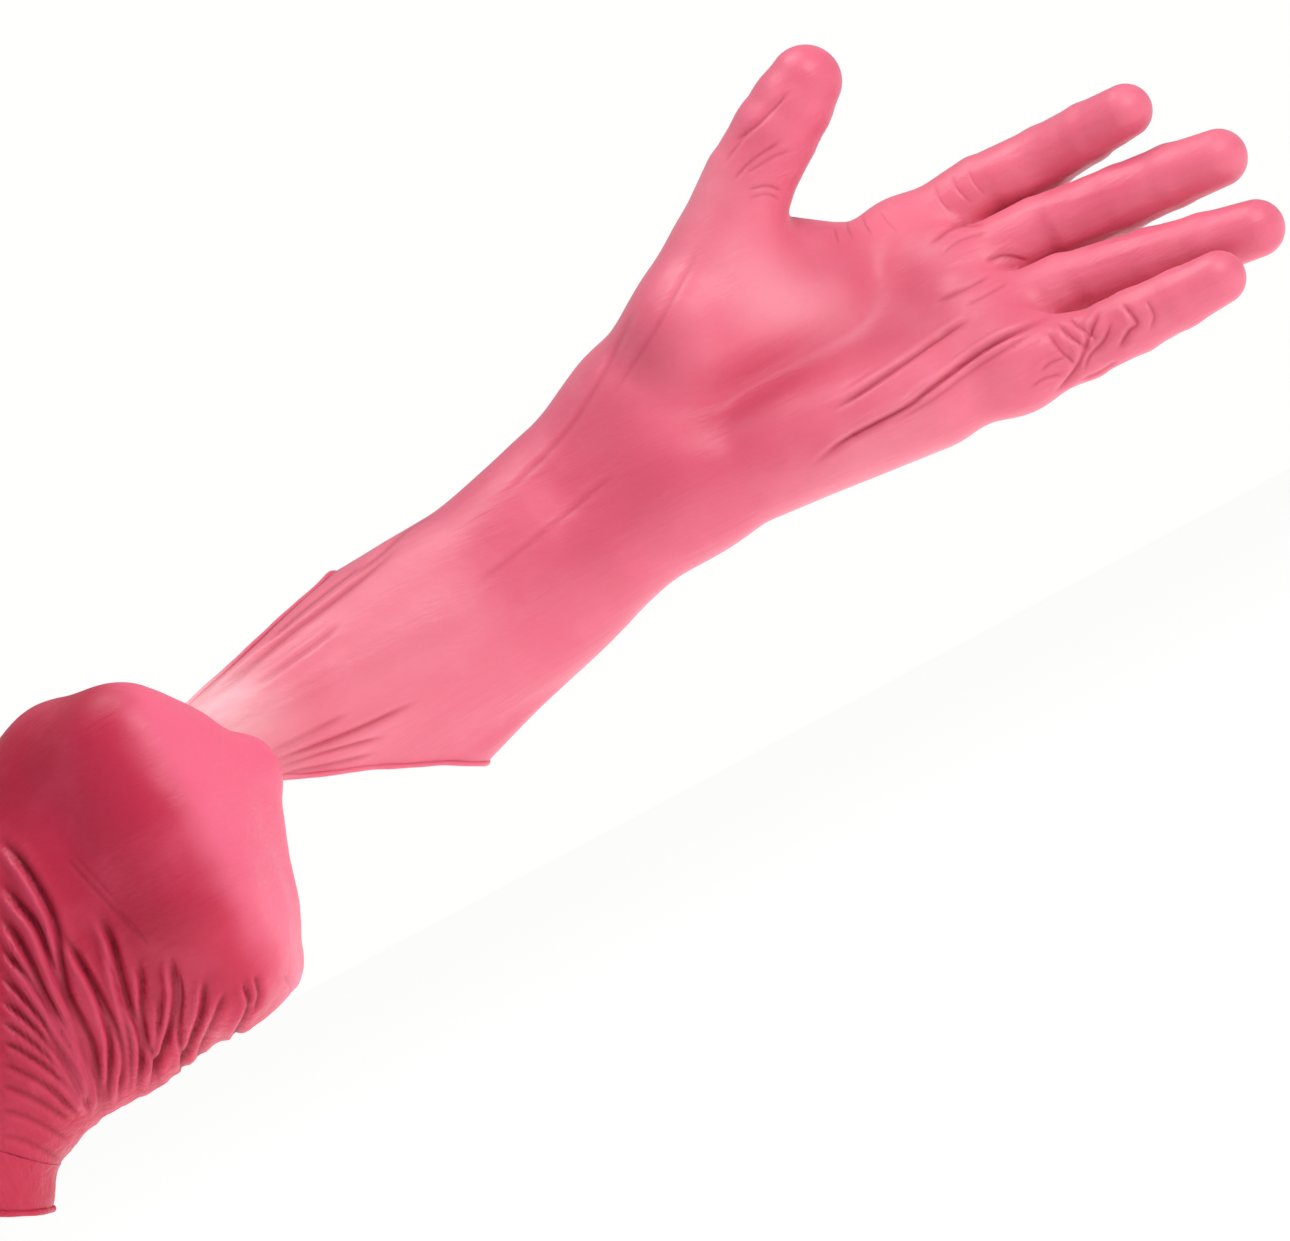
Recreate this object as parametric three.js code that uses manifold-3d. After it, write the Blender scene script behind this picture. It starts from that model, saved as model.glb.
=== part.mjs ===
// A pair of long-cuff stretch film gloves, held as worn: the left glove lies along +X with its palm open,
// the right glove is a fist that pinches the left cuff and pulls it back along the forearm.
// Millimetres, +Z up, origin at the middle of the left wrist.
import * as THREE from "three";
import { mergeVertices } from "three/addons/utils/BufferGeometryUtils.js";
import Module from "manifold-3d";

const wasm = await Module();
wasm.setup();

// ---------------------------------------------------------------- driving dimensions
const WALL = 0.5; // film thickness
const GAP = 0.3; // gap between two zones of film
const INSET = 0.2; // film stands this far inside the nominal radii, so that neighbouring stalls clear
const SIDES = 12; // sides of a stall
const SKIN_STEP = { left: 7.4, right: 6.4 }; // mesh step of a hand shell
const BLEND = 9; // how softly the hand's masses run together
const BEAD_R = 0.9; // rolled rim
const ROOT_RUN = 5; // how far a stall's root runs past its cut before it is cut

// One digit: knuckle, root cut, middle joint, end joint, tip; each [x, y, z, radius].
const LEFT_DIGITS = {
  thumb: [[30.3,-6,31.2,14.6],[55,-10,52.4,12.2],[67.4,-13,60.7,11.5],[74.4,-14,64.9,10.9],[80.6,-15,68.8,9.9]],
  index: [[85.8,19,19.4,11.2],[109.3,15,23,9.7],[129,8,22.5,9.1],[140.9,-2,22.8,8.2],[151.5,-12,22.7,7.4]],
  middle: [[89.9,7,4,11.8],[116.6,3,5.5,9.8],[140.4,-8,3,9.2],[153.8,-15,1.7,8.7],[166,-22,0,7.9]],
  ring: [[91.7,-6,-11.9,11.8],[115,-9,-11,9.4],[138,-17,-15.5,9],[152,-23,-18.3,8.5],[165.3,-28,-20.9,7.8]],
  little: [[93.3,-20,-22.1,11.2],[111.4,-23,-26.6,9],[126,-30,-27.4,8.6],[138.4,-35,-27.8,8],[149.4,-39,-27.8,7.3]],
};
// The hand's masses: pairs of [x, y, z, radius].
const LEFT_PALM = [
  [[5.2,6,1.3,17],[85.8,19,19.4,11.5]],
  [[5.8,2,-2.1,16.5],[89.9,7,4,12.2]],
  [[6.3,-4,-6.8,15.3],[91.7,-6,-11.9,12]],
  [[6.8,-8,-10.2,13.8],[93.3,-20,-22.1,11.7]],
  [[15.8,-12,-13.9,12.6],[69.8,-20,-20.6,11.8]],
  [[7.6,0,14.9,17.8],[39,-6,34.7,16]],
  [[7.6,0,14.9,17.8],[5.2,0,-1,18.6]],
  [[44,-4,37.6,12],[77.4,14,18.8,9.4]],
  [[23.4,-12,25.6,16.4],[57.2,-2,15.7,11]],
  [[85.8,19,19.4,11.2],[89.9,7,4,11.8]],
  [[89.9,7,4,11.8],[91.7,-6,-11.9,11.8]],
  [[91.7,-6,-11.9,11.8],[93.3,-20,-22.1,11.2]],
  [[-2.3,5,9.8,19],[2.1,-5,-8.4,18.4]],
  [[-2.3,5,9.8,19],[-43.1,4,-0.1,19]],
  [[2.1,-5,-8.4,18.4],[-38.5,-4,-18.3,18.4]],
];
// The fist's digits leave the hand's film just past their middle joints, since the film spans the folded fingers.
const RIGHT_DIGITS = {
  thumb: [[-181,-62,-8.1,12.5],[-175.4,-56,-8,11.6],[-166.8,-47,-7.6,10.8],[-159.5,-42.8,-9.6,10],[-152.7,-40.8,-11.3,9]],
  index: [[-130.8,-80,-22.8,8.8],[-138.2,-74.1,-21.8,8.3],[-148.5,-66,-20.5,7.9],[-152.6,-66.4,-19.4,7.7],[-156.3,-68,-18.3,7.4]],
  middle: [[-139,-81,-37.2,8.6],[-146.8,-75,-36.8,8.2],[-158.6,-66,-36.3,8],[-163.8,-67.6,-34.8,7.7],[-168.6,-70,-33.1,7.3]],
  ring: [[-143.6,-81,-53.2,8.4],[-151.3,-74.2,-53.8,8],[-162.9,-64,-54.8,7.8],[-168,-65.8,-53.6,7.4],[-172.6,-68,-52.2,7]],
  little: [[-148.2,-78,-67.6,7.8],[-156.1,-70.4,-70.2,7.3],[-166.6,-60,-72.6,7.2],[-171.8,-61,-72.3,6.9],[-176,-63,-71.8,6.5]],
};
const RIGHT_PALM = [
  [[-219.3,-92,-40.2,18],[-152,-105,-2.8,12]],
  [[-215.3,-94,-46.4,17],[-151.8,-109,-24.9,12]],
  [[-212.8,-94,-54.8,16.5],[-152,-109,-45.4,11.6]],
  [[-209.1,-92,-62.8,14],[-154.8,-103,-62.8,10.6]],
  [[-152,-105,-2.8,11.8],[-151.8,-109,-24.9,11.8]],
  [[-151.8,-109,-24.9,11.8],[-152,-109,-45.4,11.4]],
  [[-152,-109,-45.4,11.4],[-154.8,-103,-62.8,10.2]],
  [[-218,-86,-28.5,17],[-190.5,-84,-7.9,14.6]],
  [[-190.5,-84,-7.9,14.6],[-167.2,-90,0,13.6]],
  [[-167.2,-90,0,13.6],[-152,-105,-2.8,12]],
  [[-213.4,-84,-29.6,17],[-180.6,-64,-8.2,13]],
  [[-167.2,-90,0,13.6],[-173.5,-70,-4.6,11]],
  [[-220.8,-90,-46.6,19.5],[-213.9,-90,-55.9,19.5]],
  [[-220.8,-90,-46.6,19.5],[-244.7,-90,-67.7,20]],
  [[-213.9,-90,-55.9,19.5],[-237.8,-90,-77,20]],
  [[-209.1,-90,-62.8,14],[-184.7,-88,-66.2,12.5]],
  [[-184.7,-88,-66.2,12.5],[-163.4,-90.5,-69.4,8.8]],
  // the folded fingers up to their middle joints, and the film that spans them
  [[-152,-105,-2.8,12],[-130.8,-80,-22.8,8.6]],
  [[-151.8,-109,-24.9,12],[-139,-81,-37.2,8.4]],
  [[-152,-109,-45.4,11.6],[-143.6,-81,-53.2,8.2]],
  [[-154.8,-103,-62.8,10.4],[-148.2,-78,-67.6,7.6]],
  [[-141.4,-92.5,-12.8,10.4],[-145.4,-95,-31,10.4]],
  [[-145.4,-95,-31,10.4],[-147.8,-95,-49.3,10]],
  [[-147.8,-95,-49.3,10],[-151.7,-90.5,-65.2,8.8]],
  [[-131.8,-81.5,-24.5,7.4],[-139,-82.5,-37.2,7.4]],
  [[-139,-82.5,-37.2,7.4],[-143.6,-82.5,-53.2,7.4]],
  [[-143.6,-82.5,-53.2,7.4],[-148,-79.5,-66.8,6.8]],
];
// Wrist cuts: a point and the direction towards the elbow.
const LEFT_WRIST = { at: [0, 0, 0], out: [-0.9926, 0, -0.1223] };
const RIGHT_WRIST = { at: [-217.3, -90, -51.3], out: [-0.7524, 0, -0.6589] };
// Where a hand's film is parted across the palm: a point and the direction towards the fingertips.
const LEFT_PART = { at: [76, 0, 0], out: [0.9926, 0, 0.1223] };
const RIGHT_PART = { at: [-165, -90, -40], out: [1, 0, 0] };
// Sleeve: axis direction, half width across the picture plane, half depth.
const LEFT_SLEEVE = { dir: [-0.9718, 0, -0.2365], side: [-0.2365, 0, 0.9718], half: 28.6, deep: 21, deepEnd: 24 };
const RIGHT_SLEEVE = { dir: [-0.7524, 0, -0.6589], side: [-0.6589, 0, 0.7524], half: 33.5, deep: 23, rimOut: [-0.513, 0, -0.8583], rimAt: [-247.5, -90, -80.5] };
// The left cuff's rim, once round: free upper edge, the pinch, free lower edge, then behind the forearm.
const LEFT_RIM = [
  [-89.4,0,13.6],[-100.2,-10,11.2],[-112.9,-20,7.5],[-125.9,-31,3.4],[-138.7,-40,-1],[-146,-47,-5],[-151.5,-52.5,-8.6],
  [-153.6,-54.8,-10.8],[-154,-55,-12.6],[-153.8,-54.8,-14.6],[-150.5,-52,-16.6],[-143,-47,-19.8],
  [-134,-43,-23.4],[-124,-38,-27.8],[-113.5,-30,-32.2],[-104,-23,-36],[-95,-15,-40.4],[-86.5,-7,-44.4],
  [-79.5,0,-48.6],[-76.9,9,-49.4],[-79,17.5,-43.5],[-81.5,23,-33],[-84,24.5,-21.5],[-86.4,23.5,-10],[-88.3,19,0.2],[-89.4,10,8.8],
];

// Axes that the fingers and the thumb bend about.
const LEFT_BENDS = { finger: [0, -0.626, -0.771], thumb: [0.518, 0.705, -0.473] };
const RIGHT_BENDS = { finger: [0.154, 0.133, 0.979], thumb: [-0.365, 0.34, -0.866] };

const FILM = { left: 0xf27f9a, right: 0xe0627f };

// ---------------------------------------------------------------- small helpers
const V = (a) => new THREE.Vector3(a[0], a[1], a[2]);
const unit = (v) => v.clone().normalize();

function solidOf(geometry, merged = false) {
  const m = merged ? geometry : welded(geometry);
  return new wasm.Manifold(new wasm.Mesh({
    numProp: 3,
    vertProperties: new Float32Array(m.attributes.position.array),
    triVerts: new Uint32Array(m.index.array),
  }));
}
// Shared vertices merged, and the triangles that this closes up dropped.
function welded(geometry) {
  const g = geometry.clone();
  for (const name of Object.keys(g.attributes)) if (name !== "position") g.deleteAttribute(name);
  const m = mergeVertices(g, 1e-4), i = m.index.array, keep = [];
  for (let k = 0; k < i.length; k += 3)
    if (i[k] !== i[k + 1] && i[k] !== i[k + 2] && i[k + 1] !== i[k + 2]) keep.push(i[k], i[k + 1], i[k + 2]);
  m.setIndex(keep);
  return m;
}
function geometryOf(solid) {
  const m = solid.getMesh();
  const g = new THREE.BufferGeometry();
  const n = m.vertProperties.length / m.numProp;
  const p = new Float32Array(n * 3);
  for (let i = 0; i < n; i++) for (let k = 0; k < 3; k++) p[3 * i + k] = m.vertProperties[i * m.numProp + k];
  g.setAttribute("position", new THREE.BufferAttribute(p, 3));
  g.setIndex(new THREE.BufferAttribute(new Uint32Array(m.triVerts), 1));
  g.computeVertexNormals();
  return g;
}

// A box that covers the side of a plane that its direction points to.
function halfSpace(at, out, width = 400, depth = 400) {
  const g = new THREE.BoxGeometry(width, width, depth);
  g.translate(0, 0, depth / 2);
  g.applyQuaternion(new THREE.Quaternion().setFromUnitVectors(new THREE.Vector3(0, 0, 1), unit(out)));
  g.translate(at.x, at.y, at.z);
  return solidOf(g);
}

// ---------------------------------------------------------------- the hand's skin: a closed net round blended masses
function coneDistance(p, a, b, ra, rb) {
  const ba = b.clone().sub(a), l2 = ba.dot(ba), rr = ra - rb, a2 = l2 - rr * rr, il2 = 1 / l2;
  const pa = p.clone().sub(a), y = pa.dot(ba), z = y - l2;
  const x2 = pa.clone().multiplyScalar(l2).sub(ba.clone().multiplyScalar(y)).lengthSq();
  const y2 = y * y * l2, z2 = z * z * l2, k = Math.sign(rr) * rr * rr * x2;
  if (Math.sign(z) * a2 * z2 > k) return Math.sqrt(x2 + z2) * il2 - rb;
  if (Math.sign(y) * a2 * y2 < k) return Math.sqrt(x2 + y2) * il2 - ra;
  return (Math.sqrt(x2 * a2 * il2) + y * rr) * il2 - ra;
}
const blendMin = (a, b, k) => {
  const h = Math.max(k - Math.abs(a - b), 0) / k;
  return Math.min(a, b) - h * h * k * 0.25;
};
function handField(palm, digits, run) {
  const masses = palm.map(([a, b]) => [V(a), V(b), a[3] - INSET, b[3] - INSET]);
  const roots = Object.values(digits).map(([k, c]) => {
    const a = V(k), b = V(c), d = unit(b.clone().sub(a));
    return [a, b.clone().addScaledVector(d, run), k[3] - INSET, c[3] - INSET];
  });
  return (p) => {
    let f = 1e3;
    for (const m of masses) f = blendMin(f, coneDistance(p, ...m), BLEND);
    let r = 1e3;
    for (const m of roots) r = blendMin(r, coneDistance(p, ...m), 2.5);
    return blendMin(f, r, 5);
  };
}
function skinNet(field, lo, hi, h) {
  const n = lo.map((v, i) => Math.ceil((hi[i] - v) / h) + 1);
  const at = (i, j, k) => (i * n[1] + j) * n[2] + k;
  const f = new Float64Array(n[0] * n[1] * n[2]);
  const p = new THREE.Vector3();
  for (let i = 0; i < n[0]; i++) for (let j = 0; j < n[1]; j++) for (let k = 0; k < n[2]; k++) {
    p.set(lo[0] + h * i, lo[1] + h * j, lo[2] + h * k);
    f[at(i, j, k)] = field(p);
  }
  // Fill any square whose corners alternate, so that the net stays a simple closed surface.
  const step = [n[1] * n[2], n[2], 1];
  for (let again = true; again; ) {
    again = false;
    for (let i = 0; i < n[0] - 1; i++) for (let j = 0; j < n[1] - 1; j++) for (let k = 0; k < n[2] - 1; k++) {
      const o = at(i, j, k);
      for (const [u, v] of [[0, 1], [0, 2], [1, 2]]) {
        const q = [o, o + step[u], o + step[u] + step[v], o + step[v]], s = q.map((x) => f[x] < 0);
        if (s[0] === s[2] && s[1] === s[3] && s[0] !== s[1]) {
          const out = s[0] ? [q[1], q[3]] : [q[0], q[2]];
          f[f[out[0]] < f[out[1]] ? out[0] : out[1]] = -0.05 * h;
          again = true;
        }
      }
    }
  }
  const id = new Int32Array(f.length).fill(-1), verts = [];
  for (let i = 0; i < n[0] - 1; i++) for (let j = 0; j < n[1] - 1; j++) for (let k = 0; k < n[2] - 1; k++) {
    const acc = [0, 0, 0]; let num = 0;
    for (let c = 0; c < 8; c++) {
      const q = [c & 1, (c >> 1) & 1, (c >> 2) & 1];
      for (let ax = 0; ax < 3; ax++) {
        if (q[ax]) continue;
        const w = q.slice(); w[ax] = 1;
        const a = f[at(i + q[0], j + q[1], k + q[2])], b = f[at(i + w[0], j + w[1], k + w[2])];
        if (a < 0 === b < 0) continue;
        const t = a / (a - b);
        for (let x = 0; x < 3; x++) acc[x] += q[x] + (x === ax ? t : 0);
        num++;
      }
    }
    if (!num) continue;
    id[at(i, j, k)] = verts.length / 3;
    verts.push(lo[0] + h * (i + acc[0] / num), lo[1] + h * (j + acc[1] / num), lo[2] + h * (k + acc[2] / num));
  }
  const tri = [];
  const quad = (a, b, c, d, flip) => { flip ? tri.push(a, c, b, a, d, c) : tri.push(a, b, c, a, c, d); };
  for (let i = 1; i < n[0] - 1; i++) for (let j = 1; j < n[1] - 1; j++) for (let k = 1; k < n[2] - 1; k++) {
    const s = f[at(i, j, k)] < 0;
    if (s !== f[at(i + 1, j, k)] < 0) quad(id[at(i, j, k)], id[at(i, j - 1, k)], id[at(i, j - 1, k - 1)], id[at(i, j, k - 1)], !s);
    if (s !== f[at(i, j + 1, k)] < 0) quad(id[at(i, j, k)], id[at(i, j, k - 1)], id[at(i - 1, j, k - 1)], id[at(i - 1, j, k)], !s);
    if (s !== f[at(i, j, k + 1)] < 0) quad(id[at(i, j, k)], id[at(i - 1, j, k)], id[at(i - 1, j - 1, k)], id[at(i, j - 1, k)], !s);
  }
  const g = new THREE.BufferGeometry();
  g.setAttribute("position", new THREE.BufferAttribute(new Float32Array(verts), 3));
  g.setIndex(tri);
  return g;
}
// The same net drawn in by a distance along its normals.
function drawnIn(geometry, by) {
  const g = geometry.clone();
  g.computeVertexNormals();
  const p = g.attributes.position, n = g.attributes.normal;
  for (let i = 0; i < p.count; i++) p.setXYZ(i, p.getX(i) - by * n.getX(i), p.getY(i) - by * n.getY(i), p.getZ(i) - by * n.getZ(i));
  return g;
}
function settle(geometry, field) {
  const p = geometry.attributes.position, q = new THREE.Vector3(), e = 0.4;
  for (let pass = 0; pass < 2; pass++) for (let i = 0; i < p.count; i++) {
    q.fromBufferAttribute(p, i);
    const d = field(q);
    const gx = field(q.clone().setX(q.x + e)) - field(q.clone().setX(q.x - e));
    const gy = field(q.clone().setY(q.y + e)) - field(q.clone().setY(q.y - e));
    const gz = field(q.clone().setZ(q.z + e)) - field(q.clone().setZ(q.z - e));
    const l = Math.hypot(gx, gy, gz) || 1;
    p.setXYZ(i, q.x - (d * gx) / l, q.y - (d * gy) / l, q.z - (d * gz) / l);
  }
}
// The hand's film, parted across the palm into a wrist side and a knuckle side.
function handShells(palm, digits, wrist, part, step) {
  const field = handField(palm, digits, ROOT_RUN);
  const pts = palm.flat().concat(Object.values(digits).map((d) => d[1]));
  const lo = [0, 1, 2].map((i) => Math.min(...pts.map((q) => q[i])) - 36);
  const hi = [0, 1, 2].map((i) => Math.max(...pts.map((q) => q[i])) + 36);
  const outer = skinNet(field, lo, hi, step);
  settle(outer, field);
  let shell = solidOf(outer, true).subtract(solidOf(drawnIn(outer, WALL), true));
  shell = shell.subtract(halfSpace(V(wrist.at).addScaledVector(V(wrist.out), -GAP / 2), V(wrist.out), 120, 80));
  for (const [k, c] of Object.values(digits)) {
    const d = unit(V(c).sub(V(k)));
    shell = shell.subtract(halfSpace(V(c).addScaledVector(d, -GAP / 2), d, 2 * (c[3] + 0.9), ROOT_RUN + c[3] + 6));
  }
  shell = largest(shell);
  const at = V(part.at), out = V(part.out);
  return [out, out.clone().negate()].map((d) => largest(shell.subtract(halfSpace(at.clone().addScaledVector(d, -GAP / 2), d, 300, 200))));
}
function largest(solid) {
  const parts = solid.decompose();
  return parts.reduce((a, b) => (b.volume() > a.volume() ? b : a));
}

// ---------------------------------------------------------------- stalls
const ANGLES = Array.from({ length: SIDES }, (_, i) => (2 * Math.PI * i) / SIDES);
// A ring of radius r about c, square to u, started from the bending axis w.
function ring(c, u, w, r) {
  const a = unit(w.clone().addScaledVector(u, -w.dot(u))), b = new THREE.Vector3().crossVectors(u, a);
  return ANGLES.map((t) => c.clone().addScaledVector(a, r * Math.cos(t)).addScaledVector(b, r * Math.sin(t)));
}
// The rings that turn a tube from u1 to u2 about c: all before the mitre plane, on it, or after it.
function elbow(c, u1, u2, w, r) {
  const m = unit(u1.clone().add(u2)), turn = u1.angleTo(u2), half = turn / 2;
  const mid = ring(c, m, w, r);
  if (turn < 0.35) return { m, before: [], mid, after: [] };
  const inner = unit(u2.clone().sub(u1));
  mid.forEach((q) => {
    const s = q.clone().sub(c).dot(inner);
    if (s > 0) q.addScaledVector(inner, s * (1 / Math.cos(half) - 1));
  });
  const held = (u, sign) => ring(c, u, w, r).map((q) => {
    const t = sign * q.clone().sub(c).dot(m), lim = 0.8;
    return t < lim ? q.addScaledVector(u, (sign * (lim - t)) / u.dot(m)) : q;
  });
  return { m, before: [held(u1, -1)], mid, after: [held(u2, 1)] };
}
const shifted = (points, d, by) => points.map((q) => q.clone().addScaledVector(d, by));
// A closed film tube from rings outside and inside; domed where a pole is given.
function filmTube(outer, inner, poles) {
  const R = outer.length, N = SIDES, pos = [], idx = [];
  for (const q of [...outer.flat(), ...inner.flat()]) pos.push(q.x, q.y, q.z);
  const M = R * N;
  const band = (o, r, flip) => {
    for (let i = 0; i < N; i++) {
      const j = (i + 1) % N, a = o + r * N + i, b = o + r * N + j, c = a + N, d = b + N;
      flip ? idx.push(a, d, b, a, c, d) : idx.push(a, b, d, a, d, c);
    }
  };
  for (let r = 0; r < R - 1; r++) { band(0, r, false); band(M, r, true); }
  for (let i = 0; i < N; i++) {
    const j = (i + 1) % N, e = (R - 1) * N;
    idx.push(i, M + i, M + j, i, M + j, j);
    if (!poles) idx.push(e + i, e + j, M + e + j, e + i, M + e + j, M + e + i);
  }
  if (poles) {
    const at = 2 * M, e = (R - 1) * N;
    for (const q of poles) pos.push(q.x, q.y, q.z);
    for (let i = 0; i < N; i++) {
      const j = (i + 1) % N;
      idx.push(e + i, e + j, at, M + e + j, M + e + i, at + 1);
    }
  }
  const g = new THREE.BufferGeometry();
  g.setAttribute("position", new THREE.BufferAttribute(new Float32Array(pos), 3));
  g.setIndex(idx);
  return g;
}
function stallPair(chain, bend) {
  const [k, c, m, e, t] = chain, P = chain.map(V), w = V(bend);
  const u0 = unit(P[1].clone().sub(P[0])), u1 = unit(P[2].clone().sub(P[1])), u2 = unit(P[3].clone().sub(P[2])), u3 = unit(P[4].clone().sub(P[3]));
  const skins = [INSET, INSET + WALL].map((off) => {
    const root = ring(P[1], u0, w, c[3] - off);
    const mid = elbow(P[2], u1, u2, w, m[3] - off), end = elbow(P[3], u2, u3, w, e[3] - off), r = t[3] - off;
    const base = [shifted(root, u0, GAP / 2), ...mid.before, shifted(mid.mid, mid.m, -GAP / 2)];
    const dome = [0, 0.6, 1.1].map((s) => ring(P[4].clone().addScaledVector(u3, r * Math.sin(s)), u3, w, r * Math.cos(s)));
    const tip = [shifted(mid.mid, mid.m, GAP / 2), ...mid.after, ...end.before, end.mid, ...end.after, ...dome];
    return { base, tip, pole: P[4].clone().addScaledVector(u3, r) };
  });
  return {
    base: filmTube(skins[0].base, skins[1].base),
    tip: filmTube(skins[0].tip, skins[1].tip, [skins[0].pole, skins[1].pole]),
  };
}

// ---------------------------------------------------------------- sleeves: rings of film from the wrist to the rim
function filmLoft(rings) {
  const R = rings.length, N = rings[0].length, outer = [];
  for (const ring of rings) for (const q of ring) outer.push(q);
  const skin = new THREE.BufferGeometry();
  skin.setAttribute("position", new THREE.BufferAttribute(new Float32Array(outer.flatMap((q) => [q.x, q.y, q.z])), 3));
  const tri = [];
  for (let r = 0; r < R - 1; r++) for (let i = 0; i < N; i++) {
    const a = r * N + i, b = r * N + ((i + 1) % N), c = a + N, d = b + N;
    tri.push(a, b, d, a, d, c);
  }
  skin.setIndex(tri);
  skin.computeVertexNormals();
  const n = skin.attributes.normal;
  // make the normals point out of the sleeve
  const mid = rings[0].reduce((s, q) => s.add(q), new THREE.Vector3()).divideScalar(N);
  const probe = rings[0][0].clone().sub(mid).dot(new THREE.Vector3(n.getX(0), n.getY(0), n.getZ(0)));
  const s = probe > 0 ? 1 : -1;
  const pos = [], idx = [];
  outer.forEach((q) => pos.push(q.x, q.y, q.z));
  outer.forEach((q, i) => pos.push(q.x - s * WALL * n.getX(i), q.y - s * WALL * n.getY(i), q.z - s * WALL * n.getZ(i)));
  const M = R * N;
  const put = (a, b, c) => (s > 0 ? idx.push(a, b, c) : idx.push(a, c, b));
  for (let r = 0; r < R - 1; r++) for (let i = 0; i < N; i++) {
    const a = r * N + i, b = r * N + ((i + 1) % N), c = a + N, d = b + N;
    put(a, b, d); put(a, d, c);
    put(M + a, M + d, M + b); put(M + a, M + c, M + d);
  }
  for (let i = 0; i < N; i++) {
    const j = (i + 1) % N, e = (R - 1) * N;
    put(i, M + i, M + j); put(i, M + j, j);
    put(e + i, e + j, M + e + j); put(e + i, M + e + j, M + e + i);
  }
  const g = new THREE.BufferGeometry();
  g.setAttribute("position", new THREE.BufferAttribute(new Float32Array(pos), 3));
  g.setIndex(idx);
  return g;
}
// An angle for each rim point, and the ring of a sleeve at that angle.
function ringAt(centre, sleeve, angles, half, deep) {
  return angles.map((t) => centre.clone()
    .addScaledVector(V(sleeve.side), half * Math.cos(t))
    .addScaledVector(new THREE.Vector3(0, -1, 0), deep * Math.sin(t)));
}
function onto(q, dir, at, out) {
  const t = at.clone().sub(q).dot(out) / dir.dot(out);
  return q.clone().addScaledVector(dir, t);
}
function leftSleeve() {
  const N = LEFT_RIM.length, front = 19; // rim points 0..18 run over the front
  const angles = LEFT_RIM.map((_, i) => (i < front ? (Math.PI * i) / (front - 1) : Math.PI + (Math.PI * (i - front + 1)) / (N - front + 1)));
  const dir = V(LEFT_SLEEVE.dir), wOut = V(LEFT_WRIST.out), wAt = V(LEFT_WRIST.at).addScaledVector(wOut, GAP / 2);
  const ring = (s, deep) => ringAt(dir.clone().multiplyScalar(s), LEFT_SLEEVE, angles, LEFT_SLEEVE.half - INSET, deep - INSET);
  const first = ring(4, LEFT_SLEEVE.deep).map((q) => onto(q, dir, wAt, wOut));
  const rim = LEFT_RIM.map(V);
  const leave = ring(52, 23);
  const rings = [first, ring(26, 22), leave];
  for (const t of [0.3, 0.6, 0.82, 1]) rings.push(leave.map((q, i) => q.clone().lerp(rim[i], t)));
  return { geometry: filmLoft(rings), rim, before: rings[rings.length - 2] };
}
function rightSleeve() {
  const N = 24, angles = Array.from({ length: N }, (_, i) => (2 * Math.PI * i) / N);
  const S = RIGHT_SLEEVE, dir = V(S.dir), at = V(RIGHT_WRIST.at), wOut = V(RIGHT_WRIST.out);
  const ring = (s) => ringAt(at.clone().addScaledVector(dir, s), S, angles, S.half - INSET, S.deep - INSET);
  const first = ring(4).map((q) => onto(q, dir, at.clone().addScaledVector(wOut, GAP / 2), wOut));
  const last = ring(30).map((q) => onto(q, dir, V(S.rimAt), V(S.rimOut)));
  const rings = [first, ...[0.33, 0.66, 1].map((t) => first.map((q, i) => q.clone().lerp(last[i], t)))];
  return { geometry: filmLoft(rings), rim: last, before: rings[rings.length - 2] };
}
// The rolled rim: a thin tube just past the film's edge.
function bead({ rim, before }) {
  const N = rim.length, sides = 6, pos = [], idx = [];
  const away = rim.map((q, i) => {
    const t = unit(rim[(i + 1) % N].clone().sub(rim[(i + N - 1) % N])), a = q.clone().sub(before[i]);
    return unit(a.addScaledVector(t, -a.dot(t)));
  });
  const line = rim.map((q, i) => q.clone().addScaledVector(away[i], BEAD_R + GAP));
  for (let i = 0; i < N; i++) {
    const t = unit(line[(i + 1) % N].clone().sub(line[(i + N - 1) % N]));
    const a = away[i];
    const u = unit(a.clone().addScaledVector(t, -a.dot(t))), v = new THREE.Vector3().crossVectors(t, u);
    for (let k = 0; k < sides; k++) {
      const w = (2 * Math.PI * k) / sides;
      const q = line[i].clone().addScaledVector(u, BEAD_R * Math.cos(w)).addScaledVector(v, BEAD_R * Math.sin(w));
      pos.push(q.x, q.y, q.z);
    }
  }
  for (let i = 0; i < N; i++) for (let k = 0; k < sides; k++) {
    const a = i * sides + k, b = i * sides + ((k + 1) % sides), c = ((i + 1) % N) * sides + k, d = ((i + 1) % N) * sides + ((k + 1) % sides);
    idx.push(a, b, d, a, d, c);
  }
  const g = new THREE.BufferGeometry();
  g.setAttribute("position", new THREE.BufferAttribute(new Float32Array(pos), 3));
  g.setIndex(idx);
  const s = solidOf(g);
  return s.volume() < 0 ? geometryOf(largest(flipped(g))) : g;
}
function flipped(g) {
  const i = Array.from(g.index.array);
  for (let k = 0; k < i.length; k += 3) [i[k + 1], i[k + 2]] = [i[k + 2], i[k + 1]];
  const h = g.clone();
  h.setIndex(i);
  return solidOf(h);
}

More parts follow.
